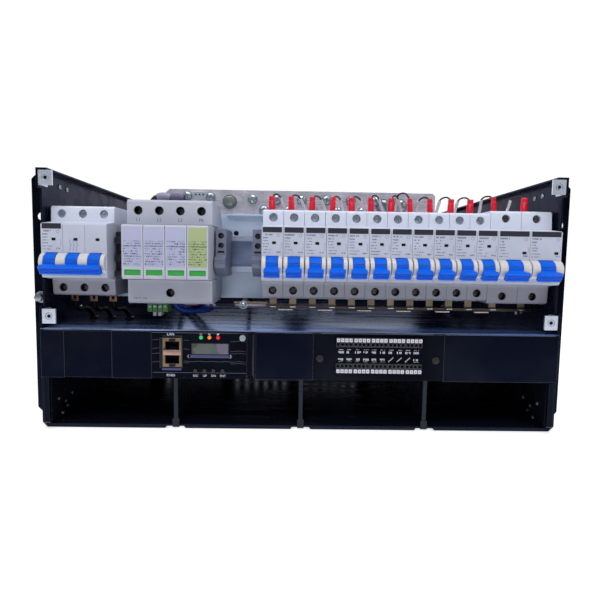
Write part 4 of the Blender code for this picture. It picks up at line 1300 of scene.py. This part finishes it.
def make_case_details():
    """Rivets in the walls and bays, ear screws, the earth stud, and painted shade in the brackets' threaded
    holes.
    """
    to_right = Matrix.Rotation(math.radians(90), 3, "Z")
    to_left = to_right.inverted()
    rivet = drive_screw(2.2, 0.8)
    small = drive_screw(1.5, 0.6)
    ear_screw = drive_screw(3.4, 1.3)
    for side, name, inward, outward in ((-1, "left", to_right, to_left), (1, "right", to_left, to_right)):
        wall = [(side * INNER, behind(y), z) for y, z in ((36, 210.5), (49, 210), (62, 100), (72, 98))]
        show(f"wall_rivets_{name}", stamped(rivet, wall, inward), "screw_zinc")
        outer = side * (TRAY_HIGH.x + 2.3)
        ear_screws = [(outer, behind(y), z) for y in (50, 80) for z in (20, 110, 200)]
        show(f"ear_screws_{name}", stamped(ear_screw, ear_screws, outward), "key_black")
        spots = ((22, 20.5), (34, 14.5), (47, 18.5), (38, 9), (28, 5))
        latch = [(side * 218.0, behind(y), z) for y, z in spots]
        show(f"bay_latch_rivets_{name}", stamped(small, latch, inward), "screw_zinc")
    show("earth_stud", stamped(hex_bolt(6.5, 4.0, 5.2), [(-235.2, behind(30), 111.6)]), "lever_screw")
    rings = []
    thread_shade = []
    for bracket in [f"{level}_{name}" for level in ("upper", "lower") for name in ("left", "right")]:
        low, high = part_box(f"cover_bracket_{bracket}")
        x = high.x / MM - 5.7 if bracket.endswith("right") else low.x / MM + 5.7
        y = low.y / MM
        z = (low.z + high.z) / 2 / MM
        rings.append(shifted(lathe([(2.5, 0), (3.1, 0), (3.0, -0.25), (2.7, -0.3), (2.5, 0)], 24), (x, y, z)))
        # A dark disc in each threaded hole: painted shade.
        thread_shade.append(disc((x, z), 1.6, "Y", y + 0.5, y + 3.4, 24))
    show("bracket_rings", gathered(rings), "hex_zinc")
    show("bracket_thread_shade", gathered(thread_shade), "well")


def make_fascia_edge_highlights():
    """Painted highlights: thin pale strips along the top edge of each length of the fascia."""
    filler = ends("filler_plate")
    panel = ends("io_panel")
    spans = [(-218, filler[0] - 0.8), (filler[1] + 0.8, UNIT_LEFT - 0.8), (UNIT_RIGHT + 0.8, panel[0] - 0.8)]
    spans += [(panel[0] + 6, panel[1] - 10), (panel[1] + 0.8, 218)]
    lines = [tile(span, (SHELF_TOP - 1.4, SHELF_TOP - 1.0), FRONT) for span in spans]
    show("fascia_edge_highlights", gathered(lines), "dim_print")


def make_rear_details():
    """Screws along the rear wall, and the earth bar on its inside."""
    back = TRAY_HIGH.y
    places = [(x, back + 0.05, z) for x in (-214, 0, 214) for z in (98, 208)]
    half_turn = Matrix.Rotation(math.pi, 3, "Z")
    show("rear_rivets", stamped(drive_screw(2.4, 0.7), places, half_turn), "screw_zinc")
    bar = soften(block((-60, 60), (back - 12, back - 9), (100, 112)), 0.4, 1)
    show("earth_bar", bar, "tinned")
    posts = [disc((x, 106), 4, "Y", back - 9.1, back - 1.6, 20, 0.2) for x in (-48, 48)]
    show("earth_bar_posts", gathered(posts), "key_black")
    bolts = [(x, back - 12, 106) for x in range(-36, 40, 18)]
    show("earth_bar_bolts", stamped(pan_bolt(2.8, 4.0), bolts), "screw_zinc")


# ---------------------------------------------------------------- camera, light and floor


def make_camera():
    """A front view through a moderately wide lens."""
    data = bpy.data.cameras.new("camera")
    data.lens = CAMERA_LENS
    data.sensor_width = 36.0
    data.shift_x, data.shift_y = CAMERA_SHIFT
    data.clip_start = 0.01
    camera = bpy.data.objects.new("camera", data)
    yaw = Matrix.Rotation(CAMERA_YAW, 3, "Z")
    pitch = Matrix.Rotation(CAMERA_PITCH, 3, "X")
    roll = Matrix.Rotation(CAMERA_ROLL, 3, "Y")
    right, forward, up = yaw @ pitch @ roll
    turned = Matrix((right, up, -forward)).transposed()
    camera.matrix_world = Matrix.Translation(Vector(CAMERA_PLACE) * MM) @ turned.to_4x4()
    link(camera)
    bpy.context.scene.camera = camera


def make_light(name, place, target, size, power, colour=(1, 1, 1)):
    """A soft box at a place, turned to a target, both in metres."""
    data = bpy.data.lights.new(name, "AREA")
    data.shape = "RECTANGLE"
    data.size, data.size_y = size
    data.energy = power
    data.color = colour
    light = bpy.data.objects.new(name, data)
    light.location = place
    light.rotation_euler = (Vector(target) - Vector(place)).to_track_quat("-Z", "Y").to_euler()
    link(light)


def make_world():
    """A studio that is white behind the object and dim on the side that it faces."""
    world = bpy.data.worlds.new("studio")
    bpy.context.scene.world = world
    world.use_nodes = True
    tree = world.node_tree
    way = tree.nodes.new("ShaderNodeTexCoord").outputs["Generated"]
    parts = tree.nodes.new("ShaderNodeSeparateXYZ")
    tree.links.new(way, parts.inputs["Vector"])
    ramp = tree.nodes.new("ShaderNodeMapRange")
    ramp.interpolation_type = "SMOOTHSTEP"
    span = {"From Min": -0.35, "From Max": 0.3, "To Min": FRONT_GLOW, "To Max": BACK_GLOW}
    for socket, value in span.items():
        ramp.inputs[socket].default_value = value
    tree.links.new(parts.outputs["Y"], ramp.inputs["Value"])
    background = tree.nodes["Background"]
    background.inputs["Color"].default_value = (0.985, 0.99, 1.0, 1.0)
    tree.links.new(ramp.outputs["Result"], background.inputs["Strength"])


def make_floor():
    """A plain pale floor just under the object."""
    shape = bmesh.new()
    bmesh.ops.create_grid(shape, x_segments=1, y_segments=1, size=6.0)
    floor = bpy.data.objects.new("floor", as_mesh(shape, "floor"))
    floor.location.z = -0.0006
    nodes = Nodes("floor")
    shade = nodes.blend(nodes.spread(nodes.noise(300, 2.0), 0, 1), (0.64, 0.64, 0.65), (0.68, 0.68, 0.68))
    nodes.shader.inputs["Specular IOR Level"].default_value = 0.0
    nodes.shader.inputs["Emission Color"].default_value = (1.0, 1.0, 1.0, 1.0)
    glow = nodes.spread(nodes.axis("Y"), 0.0, FLOOR_GLOW, *FLOOR_FADE)
    nodes.put(nodes.shader.inputs["Emission Strength"], glow)
    floor.data.materials.append(nodes.finish(shade, 0.9))
    link(floor)


def make_stage():
    """World, floor and three soft boxes."""
    make_world()
    make_floor()
    bpy.context.scene.view_settings.view_transform = "Standard"
    make_light("overhead", (0.0, -0.75, 1.25), (0, -0.05, 0.12), (1.4, 0.9), OVERHEAD_POWER)
    make_light("front_left", (-1.1, -1.3, 0.9), (0, -0.1, 0.12), (0.7, 0.7), SIDE_POWER)
    cool = (0.97, 0.98, 1.0)
    make_light("front_right", (1.1, -1.2, 0.8), (0, -0.1, 0.12), (0.7, 0.7), SIDE_POWER * 0.8, cool)


make_camera()
make_stage()
make_breaker_details()
make_feed_wires()
make_lever_lines()
make_surge_details()
make_clamp_details()
make_rail_terminal()
make_busbar_details()
make_power_wiring()
make_comb_details()
make_input_wiring()
make_surge_wiring()
make_unit_details()
make_signal_details()
make_case_details()
make_fascia_edge_highlights()
make_rear_details()
